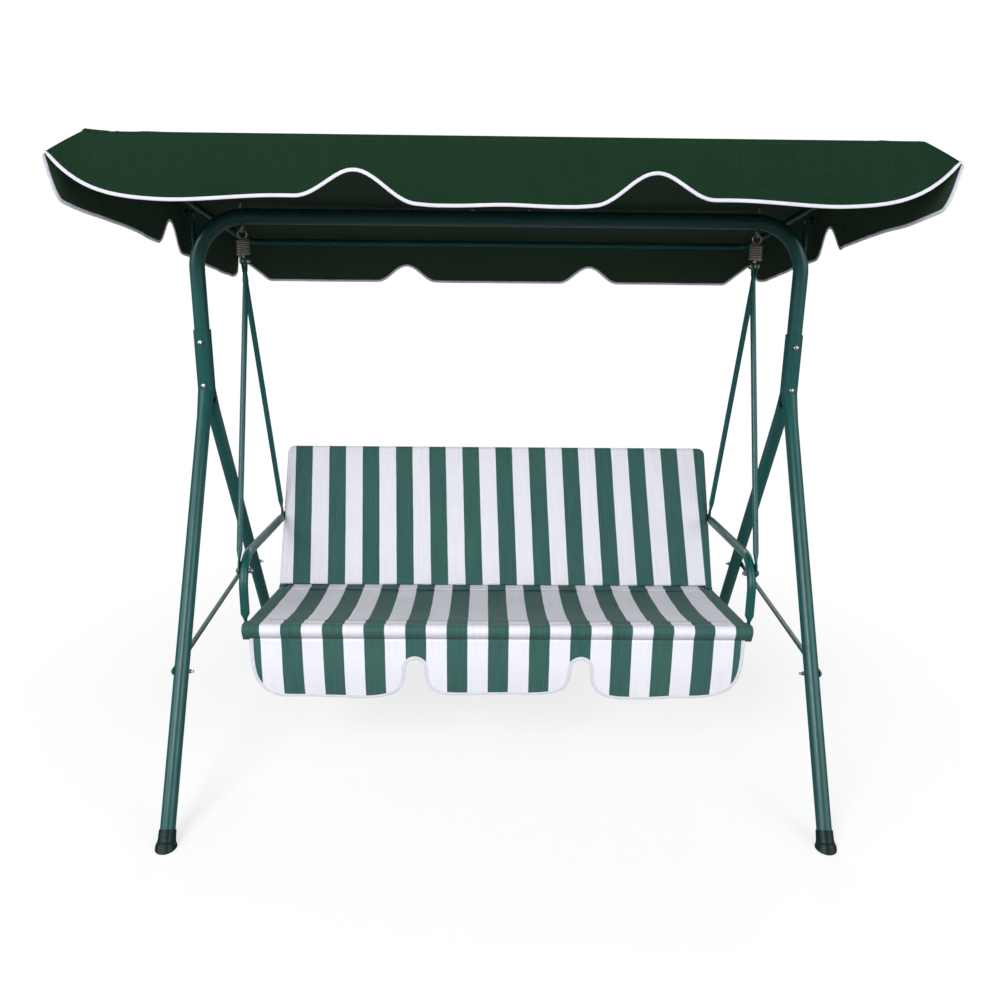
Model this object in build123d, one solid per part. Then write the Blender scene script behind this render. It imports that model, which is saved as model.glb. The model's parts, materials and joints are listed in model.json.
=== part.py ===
from build123d import *
import math
import os
from collections import namedtuple

# A garden swing bench: two A-shaped side frames under a bent crossbar, a fabric
# bench hung from two springs, and a tilting canopy with a scalloped cover.
# Millimetres; X runs across the bench, -Y is the front, +Z is up, and the
# ground is Z = 0. Right is +X. Pairs such as SEAT_FRONT are (y, z).

os.makedirs("parts", exist_ok=True)

# ---------------------------------------------------------------- dimensions
# Hexagon fasteners; hex_r is the corner radius of both head and nut
Fastener = namedtuple("Fastener", "shank_r hex_r head_h nut_h")
BIG = Fastener(4.0, 7.2, 5.2, 6.5)
SMALL = Fastener(3.0, 5.8, 4.2, 5.0)
BIG_HOLE_R = 4.1
SMALL_HOLE_R = 3.1
HEAD_DOME_R = 14.0

PLATE_T = 3.0            # thickness of a tube end pressed flat

# Legs and crossbar
LEG_X_TOP = 760.0        # side frame position at the crossbar end
LEG_X_FOOT = 768.0       # side frame position at the ground
FOOT_Y = 580.0
LEG_R = 17.5
LEG_WALL = 1.5
LEG_LOW_Z = 14.0         # lower end of the leg tube, inside the foot
LEG_ROUND_Z = 900.0      # the leg is a round tube up to here
KNEE_Y = 31.0            # leg axis where it turns up into the saddle
KNEE_Z = 922.0
SADDLE_R = 22.1
SADDLE_LOW_Z = 966.0
SADDLE_TOP_Z = 1118.0
CROSS_R = 19.0
CROSS_WALL = 1.5
CROSS_Z = 1397.0
CROSS_BEND = 130.0
CROSS_END_Z = 955.0
LEG_BOLT_Z = (976.0, 1087.0)
JOINER_R = CROSS_R - CROSS_WALL - 0.05
JOINER_WALL = 2.0
JOINER_LENGTH = 260.0
JOINER_SCREW_X = 70.0
JOINER_HOLE_R = 2.6
BRACE_Z = 345.0
BRACE_R = 6.5

# Hanging eyes, springs and hanger rods
SPRING_X = 642.0         # hanging line of the bench
EYE_Z = 1367.0
EYE_R = 7.5
EYE_WIRE = 3.0           # wire radius
SPRING_WIRE = 2.25       # wire radius
COIL_R = 14.5
COIL_TOP_Z = 1341.0
COIL_LOW_Z = 1304.0
COIL_TURNS = 6.5
TOP_RING_R = 10.8
LOW_RING_R = 6.9
PIVOT_Z = 1289.0         # bolt joining both rods to the spring
ROD_R = 7.0

# Bench
SEAT_R = 12.5            # front and rear seat tubes
SEAT_WALL = 1.5
SEAT_HALF = 623.3
SEAT_FRONT = (-326.0, 434.0)
SEAT_REAR = (92.0, 368.0)
RAIL_R = 11.0            # side rails and backrest frame
RAIL_X = 612.3
BENCH_WALL = 1.4         # wall of the rails, backrest, support, armrests and rods
SUPPORT_R = 9.0
BACK_TOP = (320.0, 723.0)
ARM_X = 624.9
ARM_R = 11.0
ARM_BEND = 78.0
ARM_FRONT_BOLT = (-290.0, 429.2)
ARM_KNEE = (-286.0, 601.0)
ROD_FRONT_LOW = (-269.8, 565.0)
ROD_REAR_LOW = (210.8, 553.0)
FABRIC = 1.2

# Canopy
CAN_PLANE_Z = 1425.0     # canopy tube axis above the crossbar
CAN_PIVOT_Z = 1399.0     # canopy tilt axis
CAN_TILT = math.radians(11.1)
CAN_SLOPE = math.tan(CAN_TILT)
CAN_TUBE_R = 8.0
CAN_WALL = 1.2
CAN_SIDE_X = 765.0
CAN_FRONT_Y = -590.0
CAN_REAR_Y = 563.0
CAN_BEND = 34.0
CAN_JOIN = 210.0         # side tube half length, along the slope
CAN_SCREW = CAN_JOIN + 20
LUG_T = 3.0
BRACKET_T = 4.0
BRACKET_X = CAN_SIDE_X - LUG_T / 2 - 0.3 - BRACKET_T / 2
COVER_X = 795.0
COVER_FRONT = -604.0
COVER_REAR = 577.0
COVER_T = 1.5
COVER_CORNER = 26.0
VALANCE = 123.0
COVER_Z = CAN_PLANE_Z + (CAN_TUBE_R + 0.6) / math.cos(CAN_TILT)  # sheet underside at y = 0


# ------------------------------------------------------------------- helpers
def save(name, shape):
    if isinstance(shape, (list, ShapeList)):
        shape = Compound(children=list(shape))
    export_step(shape, "parts/" + name + ".step")


def mirrored(shape):
    return mirror(shape, Plane.YZ)


def save_pair(name, right):
    save(name + "_right", right)
    save(name + "_left", mirrored(right))


def largest(shape):
    return shape.solids().sort_by(SortBy.VOLUME)[-1]


def rod(start, end, r):
    """Solid cylinder between two points."""
    span = Vector(*end) - Vector(*start)
    frame = Plane(origin=start, z_dir=span.normalized())
    return frame * Pos(0, 0, span.length / 2) * Cylinder(r, span.length)


def x_rod(x, y, z, half, r):
    """Solid cylinder along X, centred on x."""
    return rod((x - half, y, z), (x + half, y, z), r)


def pipe(start, end, r, wall):
    span = Vector(*end) - Vector(*start)
    frame = Plane(origin=start, z_dir=span.normalized())
    body = Pos(0, 0, span.length / 2) * Cylinder(r, span.length)
    bore = Pos(0, 0, span.length / 2) * Cylinder(r - wall, span.length + 2)
    return frame * (body - bore)


def swept(path, r, wall=None):
    """Round bar along a path, or a tube if a wall is given."""
    frame = Plane(origin=path @ 0, z_dir=path % 0)
    body = sweep(frame * Circle(r), path=path)
    if wall is None:
        return body
    return body - sweep(frame * Circle(r - wall), path=path)


def hex_bolt(seat, direction, size, length):
    """Bolt with a domed hex head at seat, shank running along direction."""
    head = extrude(RegularPolygon(size.hex_r, 6), amount=-size.head_h)
    head = head & (Pos(0, 0, -size.head_h + HEAD_DOME_R) * Sphere(HEAD_DOME_R))
    shank = Pos(0, 0, length / 2 - 0.01) * Cylinder(size.shank_r, length + 0.02)
    return Plane(origin=seat, z_dir=Vector(*direction)) * (head + shank)


def hex_nut(seat, direction, size):
    height = size.nut_h
    body = extrude(RegularPolygon(size.hex_r, 6), amount=height)
    bore = Pos(0, 0, height / 2) * Cylinder(size.shank_r + 0.05, height + 2)
    return Plane(origin=seat, z_dir=Vector(*direction)) * (body - bore)


def save_side_fasteners(name, size, stations):
    """Bolts pointing inwards along X, with their nuts, on both sides.
    Stations are (head x, nut x, y, z, shank length) on the right side."""
    bolts, nuts = [], []
    for s in (-1, 1):
        for head_x, nut_x, y, z, length in stations:
            bolts.append(hex_bolt((s * head_x, y, z), (-s, 0, 0), size, length))
            nuts.append(hex_nut((s * nut_x, y, z), (-s, 0, 0), size))
    save(name + "_bolts", bolts)
    save(name + "_nuts", nuts)


def crushed_end(hole, inward, r, half_w, flat, taper, hole_r):
    """Tube end pressed flat across X: drilled at hole, the tube leaves along inward."""
    normal = Vector(1, 0, 0)
    normal = (normal - inward * normal.dot(inward)).normalized()
    slab = Pos(0, 0, flat / 2) * Box(PLATE_T, 2 * half_w, flat)
    disc = Rot(0, 90, 0) * Cylinder(half_w, PLATE_T)
    plate = (slab + disc) - Rot(0, 90, 0) * Cylinder(hole_r, PLATE_T + 4)
    flat_face = Plane(origin=(0, 0, flat - 2)) * Ellipse(PLATE_T / 2 - 0.05, half_w - 0.3)
    round_face = Plane(origin=(0, 0, flat + taper)) * Circle(r)
    frame = Plane(origin=tuple(hole), x_dir=normal, z_dir=inward)
    return frame * (plate + loft([flat_face, round_face]))


def crushed_tube(start, end, r, wall, half_w, flat, taper, hole_r):
    """Straight tube with both ends pressed flat and drilled at start and end."""
    along = (Vector(*end) - Vector(*start)).normalized()
    inset = along * (flat + taper)
    middle = pipe(tuple(Vector(*start) + inset), tuple(Vector(*end) - inset), r, wall)
    first = crushed_end(start, along, r, half_w, flat, taper, hole_r)
    second = crushed_end(end, along * -1, r, half_w, flat, taper, hole_r)
    return middle + first + second


# ------------------------------------------------------------------ crossbar
cross_path = FilletPolyline(
    (0.1, 0, CROSS_Z),
    (LEG_X_TOP, 0, CROSS_Z),
    (LEG_X_TOP, 0, CROSS_END_Z),
    radius=CROSS_BEND,
)
cross_solid = swept(cross_path, CROSS_R)


def crossbar_half():
    bar = cross_solid - swept(cross_path, CROSS_R - CROSS_WALL)
    for z in LEG_BOLT_Z:
        bar -= Pos(LEG_X_TOP, 0, z) * Rot(90, 0, 0) * Cylinder(BIG_HOLE_R, 60)
    bar -= Pos(JOINER_SCREW_X, 0, CROSS_Z + CROSS_R) * Cylinder(JOINER_HOLE_R, 10)
    bar -= Pos(SPRING_X, 0, CROSS_Z) * Cylinder(SMALL_HOLE_R, 120)
    return bar


def crossbar_joiner():
    """Inner sleeve that joins the two crossbar halves."""
    outer = Cylinder(JOINER_R, JOINER_LENGTH)
    tube = Rot(0, 90, 0) * (outer - Cylinder(JOINER_R - JOINER_WALL, JOINER_LENGTH + 2))
    tube = Pos(0, 0, CROSS_Z) * tube
    for s in (-1, 1):
        tube -= Pos(s * JOINER_SCREW_X, 0, CROSS_Z + JOINER_R) * Cylinder(JOINER_HOLE_R, 12)
    return tube


def crossbar_screw(s):
    length, head_h = 12, 2.6
    shank = Pos(0, 0, -length / 2 + 0.01) * Cylinder(2.5, length + 0.02)
    head = Pos(0, 0, head_h / 2) * Cylinder(4.6, head_h)
    return Pos(s * JOINER_SCREW_X, 0, CROSS_Z + CROSS_R + 0.05) * (shank + head)


save_pair("crossbar", crossbar_half())
save("crossbar_joiner", crossbar_joiner())
save("crossbar_screws", [crossbar_screw(s) for s in (-1, 1)])

# ------------------------------------------------------------- legs and feet
# The front right leg is built; the others are its mirror images.
leg_down = Vector(LEG_X_FOOT - LEG_X_TOP, -(FOOT_Y - KNEE_Y), -KNEE_Z).normalized()
leg_up = leg_down * -1


def leg_point(z):
    """Point on the leg axis at height z."""
    knee = Vector(LEG_X_TOP, -KNEE_Y, KNEE_Z)
    return knee + leg_down * ((z - KNEE_Z) / leg_down.Z)


brace_point = leg_point(BRACE_Z)


def half_moon(z, r, y_edge):
    """Half-moon outline in front of the crossbar end at height z."""
    half = math.sqrt(r ** 2 - y_edge ** 2)
    left = (LEG_X_TOP - half, -y_edge, z)
    right = (LEG_X_TOP + half, -y_edge, z)
    arc = ThreePointArc(left, (LEG_X_TOP, -r, z), right)
    return make_face(Wire([arc, Line(right, left)]))


def leg_circle(r):
    """Circle square to the leg, of two edges so that it lofts to a half-moon."""
    frame = Plane(origin=tuple(leg_point(LEG_ROUND_Z)), x_dir=(1, 0, 0), z_dir=tuple(leg_up))
    left, right, front, rear = (
        frame.from_local_coords(Vector(x, y, 0))
        for x, y in ((-r, 0), (r, 0), (0, -r), (0, r))
    )
    return make_face(Wire([ThreePointArc(left, front, right), ThreePointArc(right, rear, left)]))


def front_leg():
    """Straight tube that turns up into a saddle against the crossbar end."""
    tube = pipe(tuple(leg_point(LEG_LOW_Z)), tuple(leg_point(LEG_ROUND_Z)), LEG_R, LEG_WALL)
    moon = half_moon(SADDLE_LOW_Z, SADDLE_R, 3.0)
    saddle = loft([leg_circle(LEG_R), moon])
    saddle += extrude(moon, amount=SADDLE_TOP_Z - SADDLE_LOW_Z, dir=(0, 0, 1))
    hollow = loft([leg_circle(LEG_R - LEG_WALL), half_moon(949.0, 17.5, 7.0)])
    hollow += Pos(LEG_X_TOP, 0, 947 + 150) * Cylinder(CROSS_R + 0.05, 300)
    body = largest(tube + (saddle - hollow))
    for z in LEG_BOLT_Z:
        body -= Pos(LEG_X_TOP, 0, z) * Rot(90, 0, 0) * Cylinder(BIG_HOLE_R, 90)
    body -= x_rod(LEG_X_TOP, brace_point.Y, BRACE_Z, 60, SMALL_HOLE_R)
    return body


# (distance from the leg axis, distance along it from the ground)
FOOT_PROFILE = [
    (0, -20), (25.2, -20), (24.8, 2.0), (23.6, 7.0), (21.2, 12.0),
    (20.3, 18.0), (19.7, 37.5), (18.9, 39.0), (0, 39.0), (0, -20),
]


def front_foot():
    """Slanted socket with a flared ring, cut level at the ground."""
    ground = tuple(leg_point(0.0))
    frame = Plane(origin=ground, x_dir=(1, 0, 0), z_dir=tuple(leg_up))
    profile = frame * (Plane.XZ * make_face(Polyline(*FOOT_PROFILE)))
    body = revolve(profile, axis=Axis(ground, tuple(leg_up)))
    body = body & (Pos(LEG_X_FOOT, -FOOT_Y, 100) * Box(300, 300, 200))
    bore_start = leg_point(LEG_LOW_Z) - leg_up * 0.3
    body -= rod(tuple(bore_start), tuple(leg_point(200.0)), LEG_R + 0.06)
    return body


leg = front_leg()
save_pair("front_leg", leg)
save_pair("rear_leg", mirror(leg, Plane.XZ))
foot = front_foot()
save_pair("foot_front", foot)
save_pair("foot_rear", mirror(foot, Plane.XZ))

joint_y = SADDLE_R + 0.15
joints = [(s * LEG_X_TOP, z) for s in (-1, 1) for z in LEG_BOLT_Z]
save("leg_joint_bolts", [hex_bolt((x, -joint_y, z), (0, 1, 0), BIG, 54) for x, z in joints])
save("leg_joint_nuts", [hex_nut((x, joint_y, z), (0, 1, 0), BIG) for x, z in joints])

# ---- side braces on the outer face of the legs
brace_x = brace_point.X + LEG_R + 0.1 + PLATE_T / 2
brace_y = abs(brace_point.Y)
brace = crushed_tube(
    (brace_x, -brace_y, BRACE_Z),
    (brace_x, brace_y, BRACE_Z),
    r=BRACE_R, wall=1.2, half_w=9.0, flat=22, taper=24, hole_r=SMALL_HOLE_R,
)
save_pair("side_brace", brace)
brace_head_x = brace_x + PLATE_T / 2 + 0.05
brace_nut_x = brace_point.X - LEG_R - 0.1
save_side_fasteners("brace", SMALL, [
    (brace_head_x, brace_nut_x, y, BRACE_Z, 50) for y in (-brace_y, brace_y)
])

# -------------------------------------------- hanging eyes under the crossbar
# Height of the crossbar axis at the eye, which stands on the bend
bend_start_x = LEG_X_TOP - CROSS_BEND
eye_axis_z = CROSS_Z - CROSS_BEND + math.sqrt(CROSS_BEND ** 2 - (SPRING_X - bend_start_x) ** 2)
eye_seat_z = eye_axis_z + CROSS_R


def hanging_eye():
    ring = Pos(SPRING_X, 0, EYE_Z) * Rot(0, 90, 0) * Torus(EYE_R, EYE_WIRE)
    stem = rod((SPRING_X, 0, EYE_Z + EYE_R), (SPRING_X, 0, eye_seat_z + 13), EYE_WIRE)
    return ring + stem


save_pair("hanging_eye", hanging_eye())
save("hanging_eye_nuts", [
    hex_nut((s * SPRING_X, 0, eye_seat_z + 1.2), (0, 0, 1), SMALL) for s in (-1, 1)
])


# -------------------------------- canopy brackets, bolts and knobs
def canopy_bracket():
    """Upright plate on the crossbar bend, rounded at the canopy pivot."""
    outline = Polyline(
        (-16, 1300), (16, 1300), (16, 1356),
        (9, CAN_PIVOT_Z), (-9, CAN_PIVOT_Z), (-16, 1356),
        close=True,
    )
    face = make_face(Plane.YZ * outline)
    pivot = Pos(BRACKET_X, 0, CAN_PIVOT_Z) * Rot(0, 90, 0)
    plate = Pos(BRACKET_X, 0, 0) * extrude(face, amount=BRACKET_T / 2, both=True)
    plate += pivot * Cylinder(9, BRACKET_T)
    plate -= cross_solid
    plate = plate.solids().sort_by(Axis.Z)[-1]  # the piece above the crossbar
    return plate - pivot * Cylinder(SMALL_HOLE_R, 30)


def canopy_knob():
    """Six-lobed knob on the outer face of the canopy lug."""
    lobes = Pos(0, 0, 6) * Cylinder(12.5, 8)
    for i in range(6):
        angle = math.radians(60 * i + 30)
        lobes -= Pos(13.6 * math.cos(angle), 13.6 * math.sin(angle), 6) * Cylinder(3.6, 12)
    body = Pos(0, 0, 2) * Cylinder(9, 4) + lobes
    body -= Pos(0, 0, 5) * Cylinder(3.06, 30)
    return Plane(origin=(CAN_SIDE_X + LUG_T / 2 + 0.4, 0, CAN_PIVOT_Z), z_dir=(1, 0, 0)) * body


save_pair("canopy_bracket", canopy_bracket())
pivot_head_x = BRACKET_X - BRACKET_T / 2 - 0.05
save("canopy_pivot_bolts", [
    hex_bolt((s * pivot_head_x, 0, CAN_PIVOT_Z), (s, 0, 0), SMALL, 22) for s in (-1, 1)
])
save_pair("canopy_knob", canopy_knob())


# ------------------------------------------------------------------- springs
def spring():
    """Coil with a ring at each end, built with z = 0 at the foot of the coil."""
    wire = SPRING_WIRE
    height = COIL_TOP_Z - COIL_LOW_Z
    helix = Helix(pitch=height / COIL_TURNS, height=height, radius=COIL_R)
    section = Plane(origin=helix @ 0, z_dir=helix % 0) * Circle(wire)
    coil = sweep(section, path=helix, is_frenet=True)
    coil_start = helix @ 0
    coil_end = helix @ 1
    # the upper ring faces the front, its top wire lies in the hanging eye
    top_z = EYE_Z - (EYE_R - EYE_WIRE) + wire + 0.06 - TOP_RING_R - COIL_LOW_Z
    top_ring = Pos(0, 0, top_z) * Rot(90, 0, 0) * Torus(TOP_RING_R, wire)
    # the lower ring faces sideways, around the pivot bolt
    low_z = PIVOT_Z - COIL_LOW_Z
    low_ring = Pos(0, 0, low_z) * Rot(0, 90, 0) * Torus(LOW_RING_R, wire)
    top_link = rod(tuple(coil_end), (0, 0, top_z - TOP_RING_R), wire)
    top_link += Pos(*coil_end) * Sphere(wire)
    low_link = rod(tuple(coil_start), (0, 0, 0), wire)
    low_link = low_link + Pos(*coil_start) * Sphere(wire) + Sphere(wire)
    low_link += rod((0, 0, 0), (0, 0, low_z + LOW_RING_R), wire)
    return Pos(SPRING_X, 0, COIL_LOW_Z) * (coil + top_ring + low_ring + top_link + low_link)


save_pair("spring", spring())

# -------------------------------------------------------------- hanger rods
front_rod_top_x = SPRING_X - SPRING_WIRE - 0.5 - 3.0
rear_rod_top_x = SPRING_X + SPRING_WIRE + 0.5 + 1.6
front_rod_low_x = ARM_X + ARM_R + 0.3 + PLATE_T / 2
rear_rod_low_x = ARM_X + PLATE_T / 2 + 0.35 + PLATE_T / 2

for name, low_x, low_yz, top_x in (
    ("hanger_rod_front", front_rod_low_x, ROD_FRONT_LOW, front_rod_top_x),
    ("hanger_rod_rear", rear_rod_low_x, ROD_REAR_LOW, rear_rod_top_x),
):
    hanger = crushed_tube(
        (low_x, *low_yz),
        (top_x, 0, PIVOT_Z),
        r=ROD_R, wall=BENCH_WALL, half_w=9.5, flat=24, taper=26, hole_r=4.06,
    )
    save_pair(name, hanger)

save_side_fasteners("hanger_pivot", BIG, [
    (rear_rod_top_x + 2.2, front_rod_top_x - 2.2, 0, PIVOT_Z, 24),
])

# ---------------------------------------------------------------- seat frame
front_y, front_z = SEAT_FRONT
rear_y, rear_z = SEAT_REAR
front_solid = x_rod(0, *SEAT_FRONT, 900, SEAT_R)
rear_solid = x_rod(0, *SEAT_REAR, 900, SEAT_R)
support_path = FilletPolyline(
    (0, front_y, front_z),
    (0, front_y + 90, front_z - 72),
    (0, rear_y - 90, rear_z - 58),
    (0, rear_y, rear_z),
    radius=60,
)


def seat_tube(y, z):
    return pipe((-SEAT_HALF, y, z), (SEAT_HALF, y, z), SEAT_R, SEAT_WALL)


def seat_rail():
    """Side rail between the seat tubes, cut clear of the backrest foot."""
    rear_end = (RAIL_X, *SEAT_REAR)
    rail = pipe((RAIL_X, *SEAT_FRONT), rear_end, RAIL_R, BENCH_WALL)
    rail = rail - front_solid - rear_solid
    rail -= x_rod(RAIL_X, *ARM_FRONT_BOLT, 30, SMALL_HOLE_R)
    rail -= rod(rear_end, (RAIL_X, *BACK_TOP), RAIL_R + 0.1)
    return largest(rail)


def seat_plug(s, y, z):
    """Hollow plug in the end of a seat tube."""
    bore_r = SEAT_R - SEAT_WALL
    body = Pos(0, 0, -8) * Cylinder(bore_r - 0.06, 16)
    body -= Pos(0, 0, -10) * Cylinder(bore_r - 2.5, 16)
    return Plane(origin=(s * SEAT_HALF, y, z), z_dir=(s, 0, 0)) * body


def backrest_frame():
    """One bent tube, both feet shaped to the rear seat tube."""
    path = FilletPolyline(
        (-RAIL_X, *SEAT_REAR),
        (-RAIL_X, *BACK_TOP),
        (RAIL_X, *BACK_TOP),
        (RAIL_X, *SEAT_REAR),
        radius=36,
    )
    frame = largest(swept(path, RAIL_R, BENCH_WALL) - rear_solid)
    return frame - x_rod(0, *ROD_REAR_LOW, 900, BIG_HOLE_R)


def armrest():
    """Post from the seat rail, a bend, then a run back to the backrest."""
    post_end = Vector(ARM_X, *ARM_FRONT_BOLT)
    knee = Vector(ARM_X, *ARM_KNEE)
    rear_end = Vector(ARM_X, *ROD_REAR_LOW)
    post_dir = (knee - post_end).normalized()
    rear_dir = (knee - rear_end).normalized()
    post_flat, post_taper = 14, 16
    rear_flat, rear_taper = 27, 24
    path = FilletPolyline(
        tuple(post_end + post_dir * (post_flat + post_taper)),
        tuple(knee),
        tuple(rear_end + rear_dir * (rear_flat + rear_taper)),
        radius=ARM_BEND,
    )
    body = swept(path, ARM_R, BENCH_WALL)
    body += crushed_end(post_end, post_dir, ARM_R, 11.0, post_flat, post_taper, SMALL_HOLE_R)
    body += crushed_end(rear_end, rear_dir, ARM_R, 11.0, rear_flat, rear_taper, BIG_HOLE_R)
    return body - x_rod(ARM_X, *ROD_FRONT_LOW, 40, BIG_HOLE_R)


save("seat_front_tube", seat_tube(*SEAT_FRONT))
save("seat_rear_tube", seat_tube(*SEAT_REAR))
save_pair("seat_rail", seat_rail())
# bowed bar under the middle of the seat
support = swept(support_path, SUPPORT_R, BENCH_WALL) - front_solid - rear_solid
save("seat_center_support", largest(support))
save("seat_tube_plugs", [seat_plug(s, y, z) for s in (-1, 1) for y, z in (SEAT_FRONT, SEAT_REAR)])
save("backrest_frame", backrest_frame())
save_pair("armrest", armrest())

save_side_fasteners("armrest", SMALL, [
    (ARM_X + PLATE_T / 2 + 0.1, RAIL_X - RAIL_R - 0.1, *ARM_FRONT_BOLT, 34),
])
rod_face = PLATE_T / 2 + 0.45  # from the middle of a rod end to the bolt head
save_side_fasteners("rod_end", BIG, [
    (front_rod_low_x + rod_face, ARM_X - ARM_R - 0.1, *ROD_FRONT_LOW, 36),
    (rear_rod_low_x + rod_face, RAIL_X - RAIL_R - FABRIC - 0.35, *ROD_REAR_LOW, 40),
])

# ------------------------------------------------------------- seat fabric
# Left half of the front flap's outline, as (x, z); the right half mirrors it
FLAP_HALF = [
    (-598, 424),
    (-595, 410), (-588, 360), (-582, 320), (-573, 297), (-553, 274), (-514, 258),
    (-440, 251), (-367, 249), (-300, 252), (-262, 262), (-241, 281), (-232, 308),
    (-230, 336), (-226, 348), (-216, 356), (-205, 359), (-194, 356), (-184, 348),
    (-180, 336), (-178, 308), (-168, 283), (-148, 268), (-110, 261), (-40, 259),
]
SLEEVE_IN_R = SEAT_R + 0.06
SLEEVE_OUT_R = SLEEVE_IN_R + FABRIC


def slope_plane(low, high):
    """Plane through low, a (y, z) pair, with local y towards high; also the distance."""
    along = Vector(0, high[0] - low[0], high[1] - low[1]).normalized()
    normal = (0, -along.Z, along.Y)
    length = math.hypot(high[0] - low[0], high[1] - low[1])
    return Plane(origin=(0, *low), x_dir=(1, 0, 0), z_dir=normal), length


def fabric_sleeve(y, z, half):
    return x_rod(0, y, z, half, SLEEVE_OUT_R) - x_rod(0, y, z, half + 5, SLEEVE_IN_R)


def front_flap():
    """Hanging flap with three lobes."""
    outline = FLAP_HALF + [(-x, z) for x, z in reversed(FLAP_HALF)]
    face = make_face(Plane.XZ * Polyline(*outline, close=True))
    return Pos(0, front_y - 7.0 + FABRIC / 2, 0) * extrude(face, amount=FABRIC / 2, both=True)


def seat_fabric():
    plane, length = slope_plane(SEAT_FRONT, SEAT_REAR)
    sheet_z = (SLEEVE_IN_R + SLEEVE_OUT_R) / 2
    fabric = plane * (Pos(0, length / 2, sheet_z) * Box(2 * 611.0, length, FABRIC))
    fabric = fabric + fabric_sleeve(*SEAT_FRONT, SEAT_HALF + 0.7)
    fabric = fabric + fabric_sleeve(*SEAT_REAR, RAIL_X - RAIL_R - 3)
    # rear corners of the sheet stop short of the backrest feet
    notch = plane * (Pos(0, length, 14) * Box(60, 44, 26))
    for s in (-1, 1):
        fabric -= Pos(s * RAIL_X, 0, 0) * notch
    fabric += front_flap()
    # room for the rails, the support and the front tube
    rail_room = rod((RAIL_X, *SEAT_FRONT), (RAIL_X, *SEAT_REAR), RAIL_R + 0.3)
    fabric = fabric - rail_room - mirrored(rail_room)
    fabric -= swept(support_path, SUPPORT_R + 0.3)
    fabric -= x_rod(0, *SEAT_FRONT, 700, SEAT_R + 0.05)
    return largest(fabric)


save("seat_fabric", seat_fabric())


# --------------------------------------------------------- backrest fabric
def back_block(plane, half, low, top, thick, corner):
    """Slab in the plane of the backrest with rounded upper corners."""
    middle = (low + top) / 2
    face = Pos(0, middle) * Rectangle(2 * half, top - low)
    face = fillet([v for v in face.vertices() if v.Y > middle], corner)
    return plane * extrude(face, amount=thick / 2, both=True)


def backrest_fabric():
    """Pocket pulled over the backrest frame, open at the bottom."""
    plane, length = slope_plane(SEAT_REAR, BACK_TOP)
    inner = RAIL_R + 0.05
    outer = inner + FABRIC
    low = 13.0
    pocket = back_block(plane, RAIL_X + outer, low, length + outer, 2 * outer, 22)
    pocket -= back_block(plane, RAIL_X + inner, low - 20, length + inner, 2 * inner, 21)
    pocket -= x_rod(0, *ROD_REAR_LOW, 900, 4.2)
    # side openings where the armrest ends are bolted to the frame
    arm_dir = Vector(0, ARM_KNEE[0] - ROD_REAR_LOW[0], ARM_KNEE[1] - ROD_REAR_LOW[1])
    arm_frame = Plane(
        origin=(ARM_X, *ROD_REAR_LOW), x_dir=(1, 0, 0), z_dir=tuple(arm_dir.normalized())
    )
    opening = arm_frame * (Pos(0, 0, 20) * Box(4.0, 24, 40) + Rot(0, 90, 0) * Cylinder(12, 4.0))
    return pocket - opening - mirrored(opening)


save("backrest_fabric", backrest_fabric())

# -------------------------------------------------------------- canopy frame
canopy_plane = Plane(
    origin=(0, 0, CAN_PLANE_Z),
    x_dir=(1, 0, 0),
    z_dir=(0, math.sin(CAN_TILT), math.cos(CAN_TILT)),
)


def canopy_point(x, y):
    """Point in the canopy plane, y measured along the slope."""
    return tuple(canopy_plane.from_local_coords(Vector(x, y, 0)))


def screw_hole(s, end):
    """Hole in the inner wall at side s (-1 left) and end (-1 front)."""
    x, y, z = canopy_point(s * CAN_SIDE_X, end * CAN_SCREW)
    return rod((x - s * 12, y, z), (x, y, z), 1.8)


def canopy_screw(s, end):
    x, y, z = canopy_point(s * CAN_SIDE_X, end * CAN_SCREW)
    frame = Plane(origin=(x - s * (CAN_TUBE_R + 0.3), y, z), z_dir=(s, 0, 0))
    return frame * (Pos(0, 0, 3) * Cylinder(1.7, 6) + Pos(0, 0, -1.0) * Cylinder(3.4, 2.02))


def canopy_bow(end, level_y):
    """U-shaped tube at the front (end -1) or the rear (end 1)."""
    far_y = level_y / math.cos(CAN_TILT)
    near_y = end * (CAN_JOIN + 0.1)
    path = FilletPolyline(
        canopy_point(-CAN_SIDE_X, near_y),
        canopy_point(-CAN_SIDE_X, far_y),
        canopy_point(CAN_SIDE_X, far_y),
        canopy_point(CAN_SIDE_X, near_y),
        radius=CAN_BEND,
    )
    bow = swept(path, CAN_TUBE_R, CAN_WALL)
    for s in (-1, 1):
        bow -= screw_hole(s, end)
    return bow


def canopy_side_tube():
    """Side tube with a thinner spigot at each end that enters the bow."""
    def piece(start, end, r, wall):
        return pipe(canopy_point(CAN_SIDE_X, start), canopy_point(CAN_SIDE_X, end), r, wall)

    spigot_r = CAN_TUBE_R - CAN_WALL - 0.06
    tube = piece(-CAN_JOIN, CAN_JOIN, CAN_TUBE_R, CAN_WALL)
    for end in (-1, 1):
        tube += piece(end * (CAN_JOIN - 1.0), end * (CAN_JOIN + 42), spigot_r, 1.2)
        # collar that ties the spigot to the tube
        tube += piece(end * (CAN_JOIN - 6.0), end * CAN_JOIN, CAN_TUBE_R - 0.01, 2.6)
    for end in (-1, 1):
        tube -= screw_hole(1, end)
    return tube


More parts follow.
